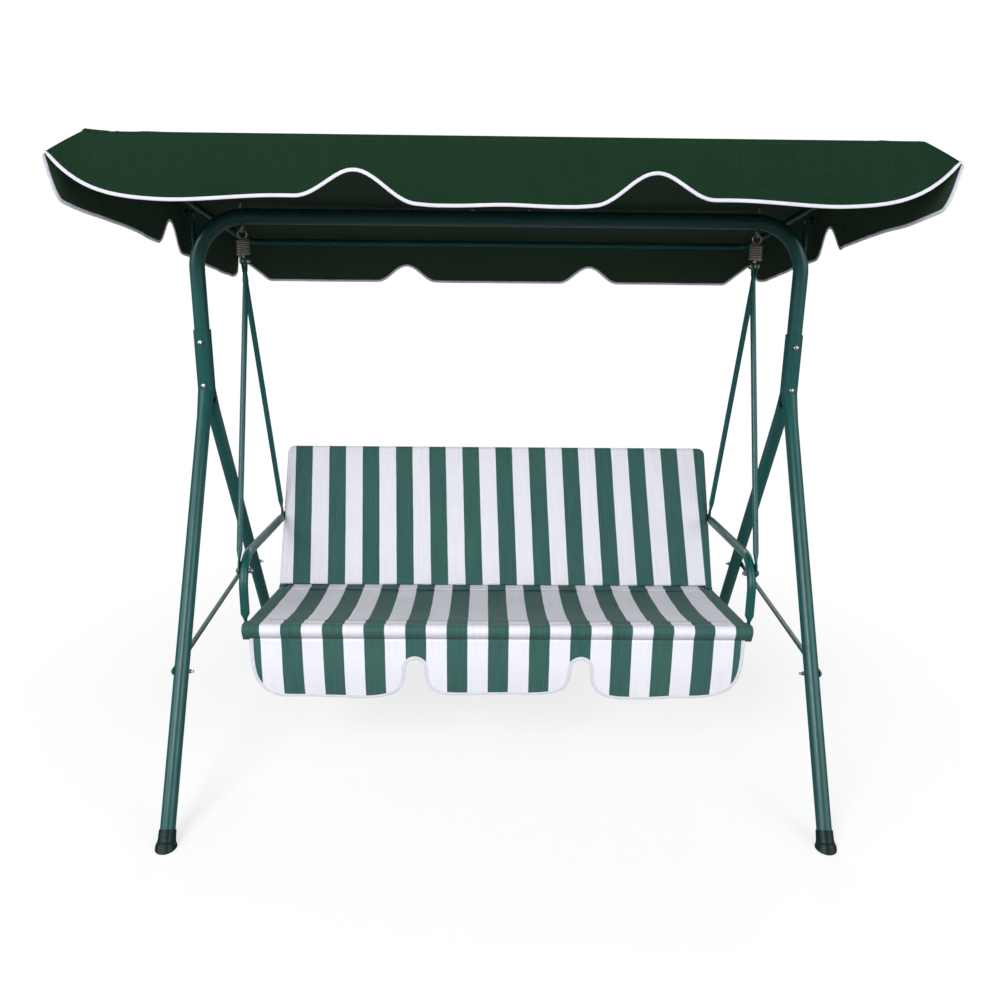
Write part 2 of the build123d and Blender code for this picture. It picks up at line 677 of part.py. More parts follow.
def canopy_lug():
    """Plate from the side tube down to the pivot."""
    height = CAN_PLANE_Z - CAN_PIVOT_Z
    lug = Pos(CAN_SIDE_X, 0, (CAN_PIVOT_Z + CAN_PLANE_Z) / 2) * Box(LUG_T, 22, height)
    lug += Pos(CAN_SIDE_X, 0, CAN_PIVOT_Z) * Rot(0, 90, 0) * Cylinder(11, LUG_T)
    lug -= x_rod(CAN_SIDE_X, 0, CAN_PIVOT_Z, 30, 3.06)
    lug -= rod(canopy_point(CAN_SIDE_X, -60), canopy_point(CAN_SIDE_X, 60), CAN_TUBE_R)
    return lug.solids().sort_by(Axis.Z)[0]


save_pair("canopy_lug", canopy_lug())
save("canopy_front_bow", canopy_bow(-1, CAN_FRONT_Y))
save("canopy_rear_bow", canopy_bow(1, CAN_REAR_Y))
save_pair("canopy_side_tube", canopy_side_tube())
save("canopy_screws", [canopy_screw(s, end) for s in (-1, 1) for end in (-1, 1)])

# -------------------------------------------------------------- canopy cover
END_CUT = 27.0           # reach of the front and rear edge cuts, each way in Y


def sloped_block(inset, low_z, top_z):
    """Vertical-sided block inset from the cover's outline, between two planes
    parallel to the canopy that pass through low_z and top_z at y = 0."""
    y_front, y_rear = COVER_FRONT + inset, COVER_REAR - inset
    face = Pos(0, (y_front + y_rear) / 2) * Rectangle(2 * (COVER_X - inset), y_rear - y_front)
    face = fillet(face.vertices(), COVER_CORNER - inset)
    block = Pos(0, 0, 1000) * extrude(face, amount=1000)
    rise = 700.0 * CAN_SLOPE
    band = make_face(Plane.YZ * Polyline(
        (-700, low_z + rise), (700, low_z - rise), (700, top_z - rise), (-700, top_z + rise),
        close=True,
    ))
    return block & extrude(band, amount=1000, both=True)


def bell(distance, half, rise):
    """Smooth hump of the given rise, gone at half from its middle."""
    if abs(distance) >= half:
        return 0.0
    return rise * 0.5 * (1 + math.cos(math.pi * distance / half))


def corner_rise(distance, run, rise=80.0):
    """Rise of a lower edge towards a corner, at a distance from that corner."""
    return rise * (1 - distance / run) ** 2 if distance < run else 0.0


def edge_base(y):
    """Height of the plain lower edge at y."""
    return COVER_Z - VALANCE - y * CAN_SLOPE


def end_edge(x, y, hump):
    """Lower edge across the front or rear."""
    return edge_base(y) + bell(abs(x) - 283.0, 100.0, hump) + corner_rise(COVER_X - abs(x), 170.0)


def side_edge(y):
    corner = min(y - COVER_FRONT, COVER_REAR - y)
    return edge_base(y) + bell(y + 70.0, 92.0, 66.0) + corner_rise(corner, 130.0)


def below_edge(plane, edge, low, high, steps):
    """Face of everything from z = 1000 up to a lower edge."""
    points = []
    for i in range(steps + 1):
        u = low + (high - low) * i / steps
        points.append((u, edge(u) - 0.5))
    points += [(high, 1000.0), (low, 1000.0)]
    return make_face(plane * Polyline(*points, close=True))


def canopy_cover():
    """Sloping sheet with vertical scalloped valances."""
    low_z = COVER_Z - VALANCE
    cover = sloped_block(0, low_z, COVER_Z + COVER_T / math.cos(CAN_TILT))
    cover -= sloped_block(COVER_T, low_z - 60, COVER_Z)
    for y, hump in ((COVER_FRONT, 58.0), (COVER_REAR, 51.0)):
        face = below_edge(Plane.XZ, lambda x: end_edge(x, y, hump), -COVER_X, COVER_X, 120)
        cover -= Pos(0, y, 0) * extrude(face, amount=END_CUT, both=True)
    face = below_edge(Plane.YZ, side_edge, COVER_FRONT, COVER_REAR, 96)
    side_cut = extrude(face, amount=1000, both=True)
    # the side cut stays between the end cuts
    span = COVER_REAR - COVER_FRONT - 2 * END_CUT
    cover -= side_cut & (Pos(0, -14, 1300) * Box(2000, span, 1000))
    return largest(cover)


save("canopy_cover", canopy_cover())
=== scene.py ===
"""A bench with a striped cloth seat and backrest under a sloping fabric canopy.

Metres, +Z up. X runs along the width (left is -X) and the front faces -Y. The cloth pieces
are built here. The other pieces come from the CAD and only get materials.
"""

import json
import math

import bpy
import numpy as np
from mathutils import Matrix, Vector


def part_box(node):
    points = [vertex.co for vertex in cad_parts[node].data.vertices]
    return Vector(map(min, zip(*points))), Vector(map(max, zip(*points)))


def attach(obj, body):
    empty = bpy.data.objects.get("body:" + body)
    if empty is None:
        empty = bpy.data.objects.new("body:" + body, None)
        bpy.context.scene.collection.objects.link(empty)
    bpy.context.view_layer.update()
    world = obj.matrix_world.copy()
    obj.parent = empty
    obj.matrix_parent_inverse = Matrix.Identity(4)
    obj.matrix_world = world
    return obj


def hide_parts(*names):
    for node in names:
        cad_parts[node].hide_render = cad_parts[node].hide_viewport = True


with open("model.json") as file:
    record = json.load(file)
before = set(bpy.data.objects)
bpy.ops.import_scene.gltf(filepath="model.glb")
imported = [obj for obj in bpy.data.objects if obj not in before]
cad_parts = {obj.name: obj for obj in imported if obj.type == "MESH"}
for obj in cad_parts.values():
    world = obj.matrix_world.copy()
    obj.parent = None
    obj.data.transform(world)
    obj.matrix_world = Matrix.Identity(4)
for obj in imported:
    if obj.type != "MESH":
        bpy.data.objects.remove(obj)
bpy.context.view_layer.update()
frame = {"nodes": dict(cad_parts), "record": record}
scene = bpy.context.scene

# ---------------------------------------------------------------- shared sizes
HALF_T = 0.0006            # half the cloth thickness
STRIPE_PITCH = 0.0998      # one green and one white stripe
SEAT_STRIPE = 0.987        # stripe scale on the seat cloth, stretched a little
BACK_STRIPE = 1.007        # stripe scale on the back cloth
SEAT_STRIPE_START = 0.624  # stripe coordinate at the middle of the seat
PAPER_WHITE = 1.02         # brightness of the background seen by the camera


def box_middle(lo, hi):
    """Middle of a box in the (y, z) plane."""
    return np.array([(lo.y + hi.y) / 2, (lo.z + hi.z) / 2])


canopy_lo, canopy_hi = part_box("canopy_cover")
tube_lo, tube_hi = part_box("seat_front_tube")
FRONT = box_middle(tube_lo, tube_hi)
REAR = box_middle(*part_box("seat_rear_tube"))
TUBE_R = (tube_hi.z - tube_lo.z) / 2


# ---------------------------------------------------------------- shader nodes
class Shader:
    """Adds and links the nodes of one shader tree."""

    def __init__(self, tree):
        self.tree = tree
        tree.nodes.clear()

    def put(self, socket, value):
        """Link a socket, or set its value."""
        if isinstance(value, bpy.types.NodeSocket):
            self.tree.links.new(value, socket)
        else:
            socket.default_value = value

    def node(self, kind, inputs=None, **settings):
        made = self.tree.nodes.new("ShaderNode" + kind)
        for key, value in settings.items():
            setattr(made, key, value)
        for key, value in (inputs or {}).items():
            self.put(made.inputs[key], value)
        return made

    def coords(self, kind="Object"):
        return self.node("TexCoord").outputs[kind]

    def cloth_coords(self):
        """The two thread directions and the distance from the hem."""
        return self.split(self.node("Attribute", attribute_name="cloth").outputs["Vector"])

    def split(self, vector):
        return self.node("SeparateXYZ", {0: vector}).outputs[:3]

    def math(self, operation, a, b=0.0, clamp=False):
        inputs = {0: a, 1: b, 2: 0.0}
        return self.node("Math", inputs, operation=operation, use_clamp=clamp).outputs[0]

    def add(self, a, b, clamp=False):
        return self.math("ADD", a, b, clamp)

    def sub(self, a, b):
        return self.math("SUBTRACT", a, b)

    def mul(self, a, b, clamp=False):
        return self.math("MULTIPLY", a, b, clamp)

    def absolute(self, a):
        return self.math("ABSOLUTE", a)

    def noise(self, vector, scale, detail=2.0):
        inputs = {"Vector": vector, "Scale": scale, "Detail": detail, "Roughness": 0.5}
        return self.node("TexNoise", inputs).outputs["Fac"]

    def ramp(self, value, span, to=(0.0, 1.0), smooth=False):
        """Map the range span to the range to."""
        inputs = {0: value, 1: span[0], 2: span[1], 3: to[0], 4: to[1]}
        kind = "SMOOTHSTEP" if smooth else "LINEAR"
        return self.node("MapRange", inputs, interpolation_type=kind).outputs[0]

    def patches(self, vector, scale, detail, span, to):
        return self.ramp(self.noise(vector, scale, detail), span, to)

    def streaks(self, x, y, scales, detail):
        """Noise with its own scale along each of two coordinates."""
        inputs = {0: self.mul(x, scales[0]), 1: self.mul(y, scales[1]), 2: 0.0}
        return self.noise(self.node("CombineXYZ", inputs).outputs[0], scale=1.0, detail=detail)

    def stretch_z(self, vector, factor):
        inputs = {0: vector, 1: (1.0, 1.0, factor)}
        return self.node("VectorMath", inputs, operation="MULTIPLY").outputs[0]

    def mix(self, fac, a, b):
        return self.node("Mix", {0: fac, 6: a, 7: b}, data_type="RGBA").outputs[2]

    def bump(self, height, strength, distance, normal=None):
        inputs = {"Strength": strength, "Distance": distance, "Height": height}
        if normal is not None:
            inputs["Normal"] = normal
        return self.node("Bump", inputs).outputs[0]

    def bevel(self, radius):
        return self.node("Bevel", {"Radius": radius}, samples=4).outputs[0]

    def dot(self, a, b):
        inputs = {0: a, 1: b}
        return self.node("VectorMath", inputs, operation="DOT_PRODUCT").outputs["Value"]

    def inside(self, middle):
        """1 on faces that look towards a middle point, 0 on faces that look away from it."""
        geometry = self.node("NewGeometry")
        inputs = {0: self.coords(), 1: middle}
        offset = self.node("VectorMath", inputs, operation="SUBTRACT").outputs[0]
        facing = self.node("VectorTransform", {0: geometry.outputs["True Normal"]},
                           vector_type="NORMAL", convert_from="WORLD", convert_to="OBJECT")
        return self.math("LESS_THAN", self.dot(offset, facing.outputs[0]), 0.0)

    def edge(self, bevelled):
        """1 along sharp edges, 0 on flat or evenly curved faces."""
        geometry = self.node("NewGeometry")
        same = self.dot(bevelled, geometry.outputs["Normal"])
        return self.ramp(same, span=(0.97, 0.80), smooth=True)

    def emission(self, grey, strength=1.0):
        inputs = {"Color": (grey, grey, grey, 1), "Strength": strength}
        return self.node("Emission", inputs).outputs[0]

    def mix_shader(self, fac, a, b):
        return self.node("MixShader", {0: fac, 1: a, 2: b}).outputs[0]


class Surface(Shader):
    """A material with one Principled shader."""

    SOCKETS = {"color": "Base Color", "rough": "Roughness", "metal": "Metallic",
               "coat": "Coat Weight", "coat_rough": "Coat Roughness", "sheen": "Sheen Weight",
               "sheen_rough": "Sheen Roughness", "normal": "Normal",
               "spec": "Specular IOR Level"}

    def __init__(self, name):
        self.mat = bpy.data.materials.new(name)
        self.mat.use_nodes = True
        super().__init__(self.mat.node_tree)
        self.output = self.node("OutputMaterial")
        self.bsdf = self.node("BsdfPrincipled")
        self.put(self.output.inputs["Surface"], self.bsdf.outputs[0])

    def set(self, **values):
        for key, value in values.items():
            self.put(self.bsdf.inputs[self.SOCKETS[key]], value)


def srgb(*rgb):
    """Linear RGBA colour from 0-255 sRGB values."""
    parts = [c / 255.0 for c in rgb]
    linear = [c / 12.92 if c <= 0.04045 else ((c + 0.055) / 1.055) ** 2.4 for c in parts]
    return (*linear, 1.0)


# ------------------------------------------------------------------- materials
def frame_paint():
    """Dark teal paint, worn at the edges, dusty near the floor, with painted shade darkening it
    near the top.
    """
    surf = Surface("frame_paint")
    point = surf.coords()
    bevelled = surf.bevel(radius=0.0009)
    edge = surf.edge(bevelled)
    chips = surf.patches(point, scale=85, detail=3, span=(0.52, 0.68), to=(0.0, 1.0))
    wear = surf.mul(edge, chips, clamp=True)
    tone = surf.mix(surf.noise(point, scale=9, detail=3), srgb(15, 72, 70), srgb(26, 91, 88))
    height = surf.split(point)[2]
    # painted shade of the canopy: above 1.27 m the paint is mixed towards a darker teal, so the
    # crossbar under the cloth looks shaded
    shade = surf.ramp(height, span=(1.27, 1.37), to=(0.0, 0.55), smooth=True)
    tone = surf.mix(shade, tone, srgb(6, 28, 27))
    low = surf.ramp(height, span=(0.02, 0.34), to=(1.0, 0.0), smooth=True)
    specks = surf.patches(point, scale=24, detail=4, span=(0.45, 0.80), to=(0.0, 0.07))
    dust = surf.mul(low, specks, clamp=True)
    colour = surf.mix(dust, tone, srgb(120, 128, 118))
    wear_amount = 0.55
    colour = surf.mix(surf.mul(wear, wear_amount), colour, srgb(128, 150, 146))
    peel = surf.noise(point, scale=620)
    rough = surf.patches(point, scale=40, detail=3, span=(0.3, 0.7), to=(0.27, 0.37))
    dust_rough = 0.4
    surf.set(color=colour, rough=surf.add(rough, surf.mul(dust, dust_rough)), coat=0.14,
             coat_rough=0.18, spec=0.36,
             normal=surf.bump(peel, strength=0.10, distance=0.0006, normal=bevelled))
    return surf.mat


def zinc_fastener():
    """Spangled zinc with a few rusty patches."""
    surf = Surface("zinc_fastener")
    point = surf.coords()
    bevelled = surf.bevel(radius=0.0006)
    cells = surf.node("TexVoronoi", {"Vector": point, "Scale": 420}).outputs["Distance"]
    spangle = surf.noise(point, scale=160, detail=3)
    tone = surf.mix(spangle, srgb(150, 152, 156), srgb(205, 208, 212))
    rust = surf.patches(point, scale=70, detail=4, span=(0.66, 0.80), to=(0.0, 0.5))
    surf.set(color=surf.mix(rust, tone, srgb(122, 104, 84)), metal=1.0,
             rough=surf.ramp(spangle, span=(0.3, 0.7), to=(0.26, 0.42)),
             normal=surf.bump(cells, strength=0.15, distance=0.0003, normal=bevelled))
    return surf.mat


def spring_steel():
    surf = Surface("spring_steel")
    streak = surf.noise(surf.stretch_z(surf.coords(), factor=5), scale=120, detail=4)
    surf.set(color=surf.mix(streak, srgb(150, 140, 122), srgb(224, 220, 210)), metal=1.0,
             rough=surf.ramp(streak, span=(0.3, 0.7), to=(0.28, 0.48)),
             normal=surf.bump(streak, strength=0.2, distance=0.0003))
    return surf.mat


def black_plastic():
    """Grained plastic, scuffed, a little lighter at the floor."""
    surf = Surface("black_plastic")
    point = surf.coords()
    bevelled = surf.bevel(radius=0.0008)
    grain = surf.noise(point, scale=900)
    scuff = surf.patches(point, scale=55, detail=5, span=(0.55, 0.80), to=(0.0, 0.5))
    height = surf.split(point)[2]
    low = surf.ramp(height, span=(0.0, 0.02), to=(0.18, 0.0), smooth=True)
    scuff_amount = 0.6
    light = surf.add(surf.mul(scuff, scuff_amount), low, clamp=True)
    surf.set(color=surf.mix(light, srgb(9, 36, 38), srgb(26, 54, 56)), spec=0.24,
             rough=surf.ramp(scuff, span=(0.0, 0.5), to=(0.36, 0.54)),
             normal=surf.bump(grain, strength=0.25, distance=0.0004, normal=bevelled))
    return surf.mat


def weave(surf, warp, weft, pitch):
    """Height of a plain weave: half a checker plus a quarter of each thread."""
    waves = math.pi / pitch
    a = surf.math("SINE", surf.mul(warp, waves))
    b = surf.math("SINE", surf.mul(weft, waves))
    checker = surf.mul(a, b)
    threads = surf.add(surf.absolute(a), surf.absolute(b))
    return surf.add(surf.mul(checker, 0.5), surf.mul(threads, 0.25))


def stitches(surf, run, hem, at, wide=0.0011, step=0.0055):
    """1 on the thread of a dashed line where the coordinate hem equals at."""
    filled = 0.68              # share of each step covered by thread
    near = surf.math("LESS_THAN", surf.absolute(surf.sub(hem, at)), wide / 2)
    phase = surf.math("FRACT", surf.math("DIVIDE", run, step))
    return surf.mul(near, surf.math("LESS_THAN", phase, filled))


def stitch_pair(surf, run, hem, at):
    """Two rows of stitches, at the two distances from the hem."""
    rows = [stitches(surf, run, hem, row) for row in at]
    return surf.math("MAXIMUM", *rows)


def cloth_normal(surf, point, threads, slub, groove, depth, stretch, scale, strength, distance):
    """Thread relief with a groove of some depth, over soft creases stretched along z."""
    slub_height = 0.8
    height = surf.add(surf.add(threads, surf.mul(slub, slub_height)), surf.mul(groove, -depth))
    normal = surf.bump(height, strength=0.35, distance=0.0005)
    soft = surf.noise(surf.stretch_z(point, stretch), scale=scale, detail=4)
    return surf.bump(soft, strength, distance, normal)


def canopy_fabric():
    """Dark green cloth, lighter inside the canopy."""
    surf = Surface("canopy_fabric")
    warp, weft, hem = surf.cloth_coords()
    point = surf.coords()
    threads = weave(surf, warp, weft, pitch=0.0016)
    slub_warp = surf.streaks(warp, weft, scales=(420.0, 9.0), detail=3)
    slub_weft = surf.streaks(warp, weft, scales=(9.0, 420.0), detail=3)
    slub = surf.mul(surf.add(slub_warp, slub_weft), 0.5)     # their mean
    tone = surf.mix(surf.ramp(slub, span=(0.36, 0.64)), srgb(17, 43, 27), srgb(24, 52, 34))
    fade = surf.patches(point, scale=3.2, detail=3, span=(0.35, 0.7), to=(0.0, 0.18))
    tone = surf.mix(fade, tone, srgb(30, 58, 38))
    thread_shade, stitch_shade = 0.20, 0.30
    shade = surf.mul(surf.ramp(threads, span=(0.0, 1.0)), thread_shade)
    tone = surf.mix(shade, tone, srgb(12, 31, 20))
    tone = surf.mix(surf.inside(middle=(0.0, -0.03, 1.05)), tone, srgb(42, 60, 45))
    seams = stitch_pair(surf, warp, hem, at=(0.011, 0.0175))
    tone = surf.mix(surf.mul(seams, stitch_shade), tone, srgb(44, 72, 50))
    normal = cloth_normal(surf, point, threads, slub, seams, depth=1.5, stretch=0.45, scale=26,
                          strength=0.25, distance=0.0035)
    surf.set(color=tone, rough=surf.ramp(slub, span=(0.3, 0.7), to=(0.66, 0.84)), sheen=0.0,
             sheen_rough=0.5, normal=normal, spec=0.08)
    return surf.mat


def striped_fabric():
    """Green and white stripes, with slightly wavy borders."""
    surf = Surface("striped_fabric")
    across, along, hem = surf.cloth_coords()
    point = surf.coords()
    sway, mean, bleed = 0.0016, 0.5, 0.008    # border sway, mean noise, soft part of a border
    stray = surf.streaks(across, along, scales=(7.0, 14.0), detail=2)
    wobble = surf.mul(surf.sub(stray, mean), sway)
    phase = surf.math("FRACT", surf.math("DIVIDE", surf.add(across, wobble), STRIPE_PITCH))
    # 1 in the green half of each pair
    rise = surf.ramp(phase, span=(0.0, bleed))
    fall = surf.ramp(phase, span=(0.5, 0.5 + bleed), to=(1.0, 0.0))
    green = surf.mul(rise, fall)
    threads = weave(surf, across, along, pitch=0.0014)
    slub = surf.streaks(across, along, scales=(520.0, 6.0), detail=3)
    cross = surf.streaks(across, along, scales=(8.0, 420.0), detail=2)
    streak = surf.ramp(slub, span=(0.36, 0.64))
    green_tone = surf.mix(streak, srgb(46, 86, 80), srgb(60, 102, 97))
    fade = surf.patches(point, scale=4.5, detail=3, span=(0.4, 0.7), to=(0.0, 0.25))
    green_tone = surf.mix(fade, green_tone, srgb(72, 110, 98))
    white_tone = surf.mix(streak, srgb(232, 232, 242), srgb(240, 240, 248))
    grey = surf.ramp(cross, span=(0.45, 0.7), to=(0.0, 0.30))
    white_tone = surf.mix(grey, white_tone, srgb(222, 222, 235))
    tone = surf.mix(green, white_tone, green_tone)
    fold_at, fold_wide, stitch_shade = 0.010, 0.0012, 0.45
    seams = stitch_pair(surf, across, hem, at=(fold_at, 0.0030))
    stitch_tone = surf.mix(green, srgb(206, 206, 216), srgb(84, 122, 110))
    tone = surf.mix(surf.mul(seams, stitch_shade), tone, stitch_tone)
    from_fold = surf.absolute(surf.sub(hem, fold_at))
    fold = surf.ramp(from_fold, span=(0.0, fold_wide), to=(1.0, 0.0))
    normal = cloth_normal(surf, point, threads, slub, fold, depth=1.6, stretch=0.35, scale=24,
                          strength=0.22, distance=0.003)
    surf.set(color=tone, rough=surf.ramp(slub, span=(0.3, 0.7), to=(0.66, 0.84)), sheen=0.06,
             sheen_rough=0.5, normal=normal, spec=0.18)
    return surf.mat


def binding_tape():
    """White tape with one row of stitches."""
    surf = Surface("binding_tape")
    run, side, _ = surf.cloth_coords()
    point = surf.coords()
    threads = weave(surf, run, side, pitch=0.0011)
    seam = stitches(surf, run, side, at=0.0, wide=0.0009, step=0.0045)
    blotch = surf.noise(point, scale=60, detail=4)
    tone = surf.mix(blotch, srgb(206, 206, 222), srgb(232, 232, 242))
    stitch_shade, stitch_depth = 0.5, 1.5
    tone = surf.mix(surf.mul(seam, stitch_shade), tone, srgb(190, 190, 204))
    height = surf.add(threads, surf.mul(seam, -stitch_depth))
    surf.set(color=tone, rough=0.7, sheen=0.15, spec=0.3,
             normal=surf.bump(height, strength=0.4, distance=0.0004))
    return surf.mat


MATERIALS = {make.__name__: make() for make in (
    frame_paint, zinc_fastener, spring_steel, black_plastic, canopy_fabric, striped_fabric)}
BINDING = binding_tape()


# --------------------------------------------------------------- mesh building
SLOT_OF_BODY = {"canopy": "canopy_fabric", "bench": "striped_fabric"}


def make_mesh(name, verts, faces, cloth, body, material=None, thick=2 * HALF_T):
    """Smooth mesh with a "cloth" attribute, thickened and attached to a body."""
    slot = SLOT_OF_BODY[body]
    mesh = bpy.data.meshes.new(name)
    mesh.from_pydata(np.asarray(verts, float).tolist(), [], faces)
    mesh.validate()
    mesh.polygons.foreach_set("use_smooth", [True] * len(mesh.polygons))
    attribute = mesh.attributes.new("cloth", "FLOAT_VECTOR", "POINT")
    attribute.data.foreach_set("vector", np.asarray(cloth, np.float32).ravel())
    mesh.materials.append(material or MATERIALS[slot])
    ob = bpy.data.objects.new(name, mesh)
    scene.collection.objects.link(ob)
    if thick:
        solid = ob.modifiers.new("thickness", "SOLIDIFY")
        solid.thickness = thick
        solid.offset = 0.0
        solid.use_rim = True
        solid.use_even_offset = False
    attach(ob, body)
    return ob


def grid_faces(cols, rows, start=0):
    """Quads of a grid whose vertices are stored row by row."""
    corners = [start + r * cols + c for r in range(rows - 1) for c in range(cols - 1)]
    return [(i, i + 1, i + cols + 1, i + cols) for i in corners]


def flipped(faces):
    return [tuple(reversed(face)) for face in faces]


def smooth_step(t):
    t = np.clip(t, 0.0, 1.0)
    return t * t * (3 - 2 * t)


def unit(vectors):
    return vectors / np.linalg.norm(vectors, axis=-1, keepdims=True)


def path_run(points):
    """Distance along a path at each of its points."""
    return np.concatenate([[0], np.cumsum(np.linalg.norm(np.diff(points, axis=0), axis=1))])


def coons(bottom, top, left, right):
    """Grid of points between four boundary curves, rows from bottom to top."""
    u = (bottom[:, 0] - bottom[0, 0]) / (bottom[-1, 0] - bottom[0, 0])
    v = (left[:, 1] - left[0, 1]) / (left[-1, 1] - left[0, 1])
    u, v = np.meshgrid(u, v)
    u, v = u[..., None], v[..., None]
    grid = (1 - v) * bottom[None] + v * top[None] + (1 - u) * left[:, None] + u * right[:, None]
    return grid - ((1 - u) * (1 - v) * bottom[0] + u * (1 - v) * bottom[-1]
                   + (1 - u) * v * top[0] + u * v * top[-1])


def sweep_tape(name, path, up, out, half_h, half_t, lift, closed, body):
    """Folded tape round an edge: up points into the cloth, out along its normal."""
    ring, squareness, stitch_row = 12, 0.8, 0.45
    count = len(path)
    angle = np.linspace(0, 2 * math.pi, ring, endpoint=False)
    cos, sin = np.cos(angle), np.sin(angle)
    high = half_h * np.copysign(np.abs(cos) ** squareness, cos)
    wide = half_t * np.copysign(np.abs(sin) ** squareness, sin)
    verts = ((path + up * lift)[:, None] + up[:, None] * high[:, None]
             + out[:, None] * wide[:, None]).reshape(-1, 3)
    cloth = np.column_stack([np.repeat(path_run(path), ring),
                             np.tile(cos * half_h - half_h * stitch_row, count),
                             np.ones(count * ring)])
    faces = []
    for i in range(count if closed else count - 1):
        j = (i + 1) % count
        for k in range(ring):
            m = (k + 1) % ring
            faces.append((i * ring + k, i * ring + m, j * ring + m, j * ring + k))
    if not closed:
        faces.append(tuple(range(ring - 1, -1, -1)))
        faces.append(tuple((count - 1) * ring + k for k in range(ring)))
    make_mesh(name, verts, faces, cloth, body, material=BINDING, thick=0)


# ---------------------------------------------------------------- canopy cover
SLOPE = math.tan(math.radians(11.1))       # the sheet rises towards the front
CANOPY_INSET = 0.0015                      # from the CAD bounds to the cloth outline
CANOPY_X = (canopy_hi.x - canopy_lo.x) / 2 - CANOPY_INSET
CANOPY_FRONT = canopy_lo.y + CANOPY_INSET
CANOPY_REAR = canopy_hi.y - CANOPY_INSET
SHEET_Z = 1.43376 + HALF_T / math.cos(math.atan(SLOPE))    # flat sheet height at y = 0
CORNER = 0.026                             # plan radius of the corners
ROUND = 0.0145                             # bend from the sheet into the valance
VALANCE = 0.123                            # plain depth of the hanging edge
SIDE_NOTCH_Y = -0.060


def plane_z(y):
    return SHEET_Z - y * SLOPE


def bell(offset, half, rise=1.0):
    """Cosine bump of a half width and a height."""
    offset = np.abs(offset)
    return np.where(offset < half,
                    rise * 0.5 * (1 + np.cos(math.pi * np.minimum(offset / half, 1))), 0.0)


def decay(distance, length):
    return np.exp(-distance / length)


def outline(n_arc, n_front, n_side):
    """Arc centres and outward directions of the rounded rectangle.

    Runs anticlockwise, seen from above, from the middle of the front left corner.
    """
    x = CANOPY_X - CORNER
    y_front, y_rear = CANOPY_FRONT + CORNER, CANOPY_REAR - CORNER
    corners = [(-x, y_front), (x, y_front), (x, y_rear), (-x, y_rear)]
    stations = []
    for k, (facing, count) in enumerate(((270, n_front), (0, n_side),
                                         (90, n_front), (180, n_side))):
        (xa, ya), (xb, yb) = corners[k], corners[(k + 1) % 4]
        for i in range(n_arc):
            stations.append((xa, ya, facing - 45 + 45 * i / n_arc))
        for i in range(count + 1):
            t = i / count
            stations.append((xa + (xb - xa) * t, ya + (yb - ya) * t, facing))
        for i in range(1, n_arc):
            stations.append((xb, yb, facing + 45 * i / n_arc))
    stations = np.array(stations)
    angle = np.radians(stations[:, 2])
    return stations[:, :2], np.stack([np.cos(angle), np.sin(angle)], 1)


def canopy_top(x, y):
    """Height of the middle surface of the stretched sheet."""
    ux = np.clip(np.abs(x) / 0.755, 0, 1)
    uy = np.clip((y + 0.0135) / 0.572, -1, 1)
    sag = 0.0095 * (1 - ux ** 2) * (1 - uy ** 2)
    bays = (0.0022 * np.sin(np.pi * 3 * (x + 0.1)) * (1 - uy ** 2) ** 2 * (1 - ux ** 4)
            * np.clip(np.abs(y) / 0.12, 0, 1))
    # shallow tension folds running in from the four corners
    folds = 0.0
    for corner_x, corner_y in ((-0.75, -0.57), (0.75, -0.57), (-0.75, 0.545), (0.75, 0.545)):
        dx, dy = x - corner_x, y - corner_y
        distance = np.hypot(dx, dy)
        folds = folds + (0.0016 * np.sin(np.arctan2(dy, dx) * 22 + corner_x * 9)
                         * smooth_step(distance / 0.05) * np.exp(-(distance / 0.22) ** 2))
    # small peak at the front left corner, and fine unevenness over the sheet
    peak = 0.0045 * np.exp(-(((x + 0.770) / 0.030) ** 2 + ((y + 0.585) / 0.05) ** 2))
    fine = (0.0007 * np.sin(x * 31 + 2.1 * np.sin(y * 7)) * np.sin(y * 23 + 1.3)
            * (1 - ux ** 4) * (1 - uy ** 4))
    return plane_z(y) - sag + bays + folds + (peak + fine)


def valance_rise(x, y, is_front, is_rear, from_side, from_front, from_rear):
    """How far the lower edge lies above the plain valance line."""
    ax = np.abs(x)
    # front: two notches, a raised shoulder outside each, a lower middle, raised corners
    shoulder = (0.0105 * smooth_step((ax - 0.310) / 0.090)
                * (1 - smooth_step((ax - 0.420) / 0.220)))
    middle = (0.0045 * (1 - smooth_step((ax - 0.125) / 0.075))
              * (0.4 + 0.6 * smooth_step(ax / 0.10)))
    front = (bell(ax - 0.281, half=0.1135, rise=0.057) + shoulder - middle
             + 0.090 * decay(from_side, 0.038))
    rear = (bell(ax - 0.283, half=0.090, rise=0.048)
            + 0.073 * np.clip(1 - from_side / 0.085, 0, 1))
    # sides: one narrow notch, a steep rise at each end
    side_front = 0.062 * decay(from_front, 0.0045) + 0.012 * decay(from_front, 0.060)
    side_front = side_front - (0.009 * smooth_step(from_front / 0.02)
                               * (1 - smooth_step((from_front - 0.08) / 0.22)))
    side_rear = 0.050 * decay(from_rear, 0.0060) + 0.023 * decay(from_rear, 0.050)
    lower = 0.003 * smooth_step(np.minimum(from_front, from_rear) / 0.1)
    side = (0.064 * bell(y - SIDE_NOTCH_Y, half=0.098) ** 1.35
            + side_front + side_rear - lower)
    return np.where(is_front, front, np.where(is_rear, rear, side))


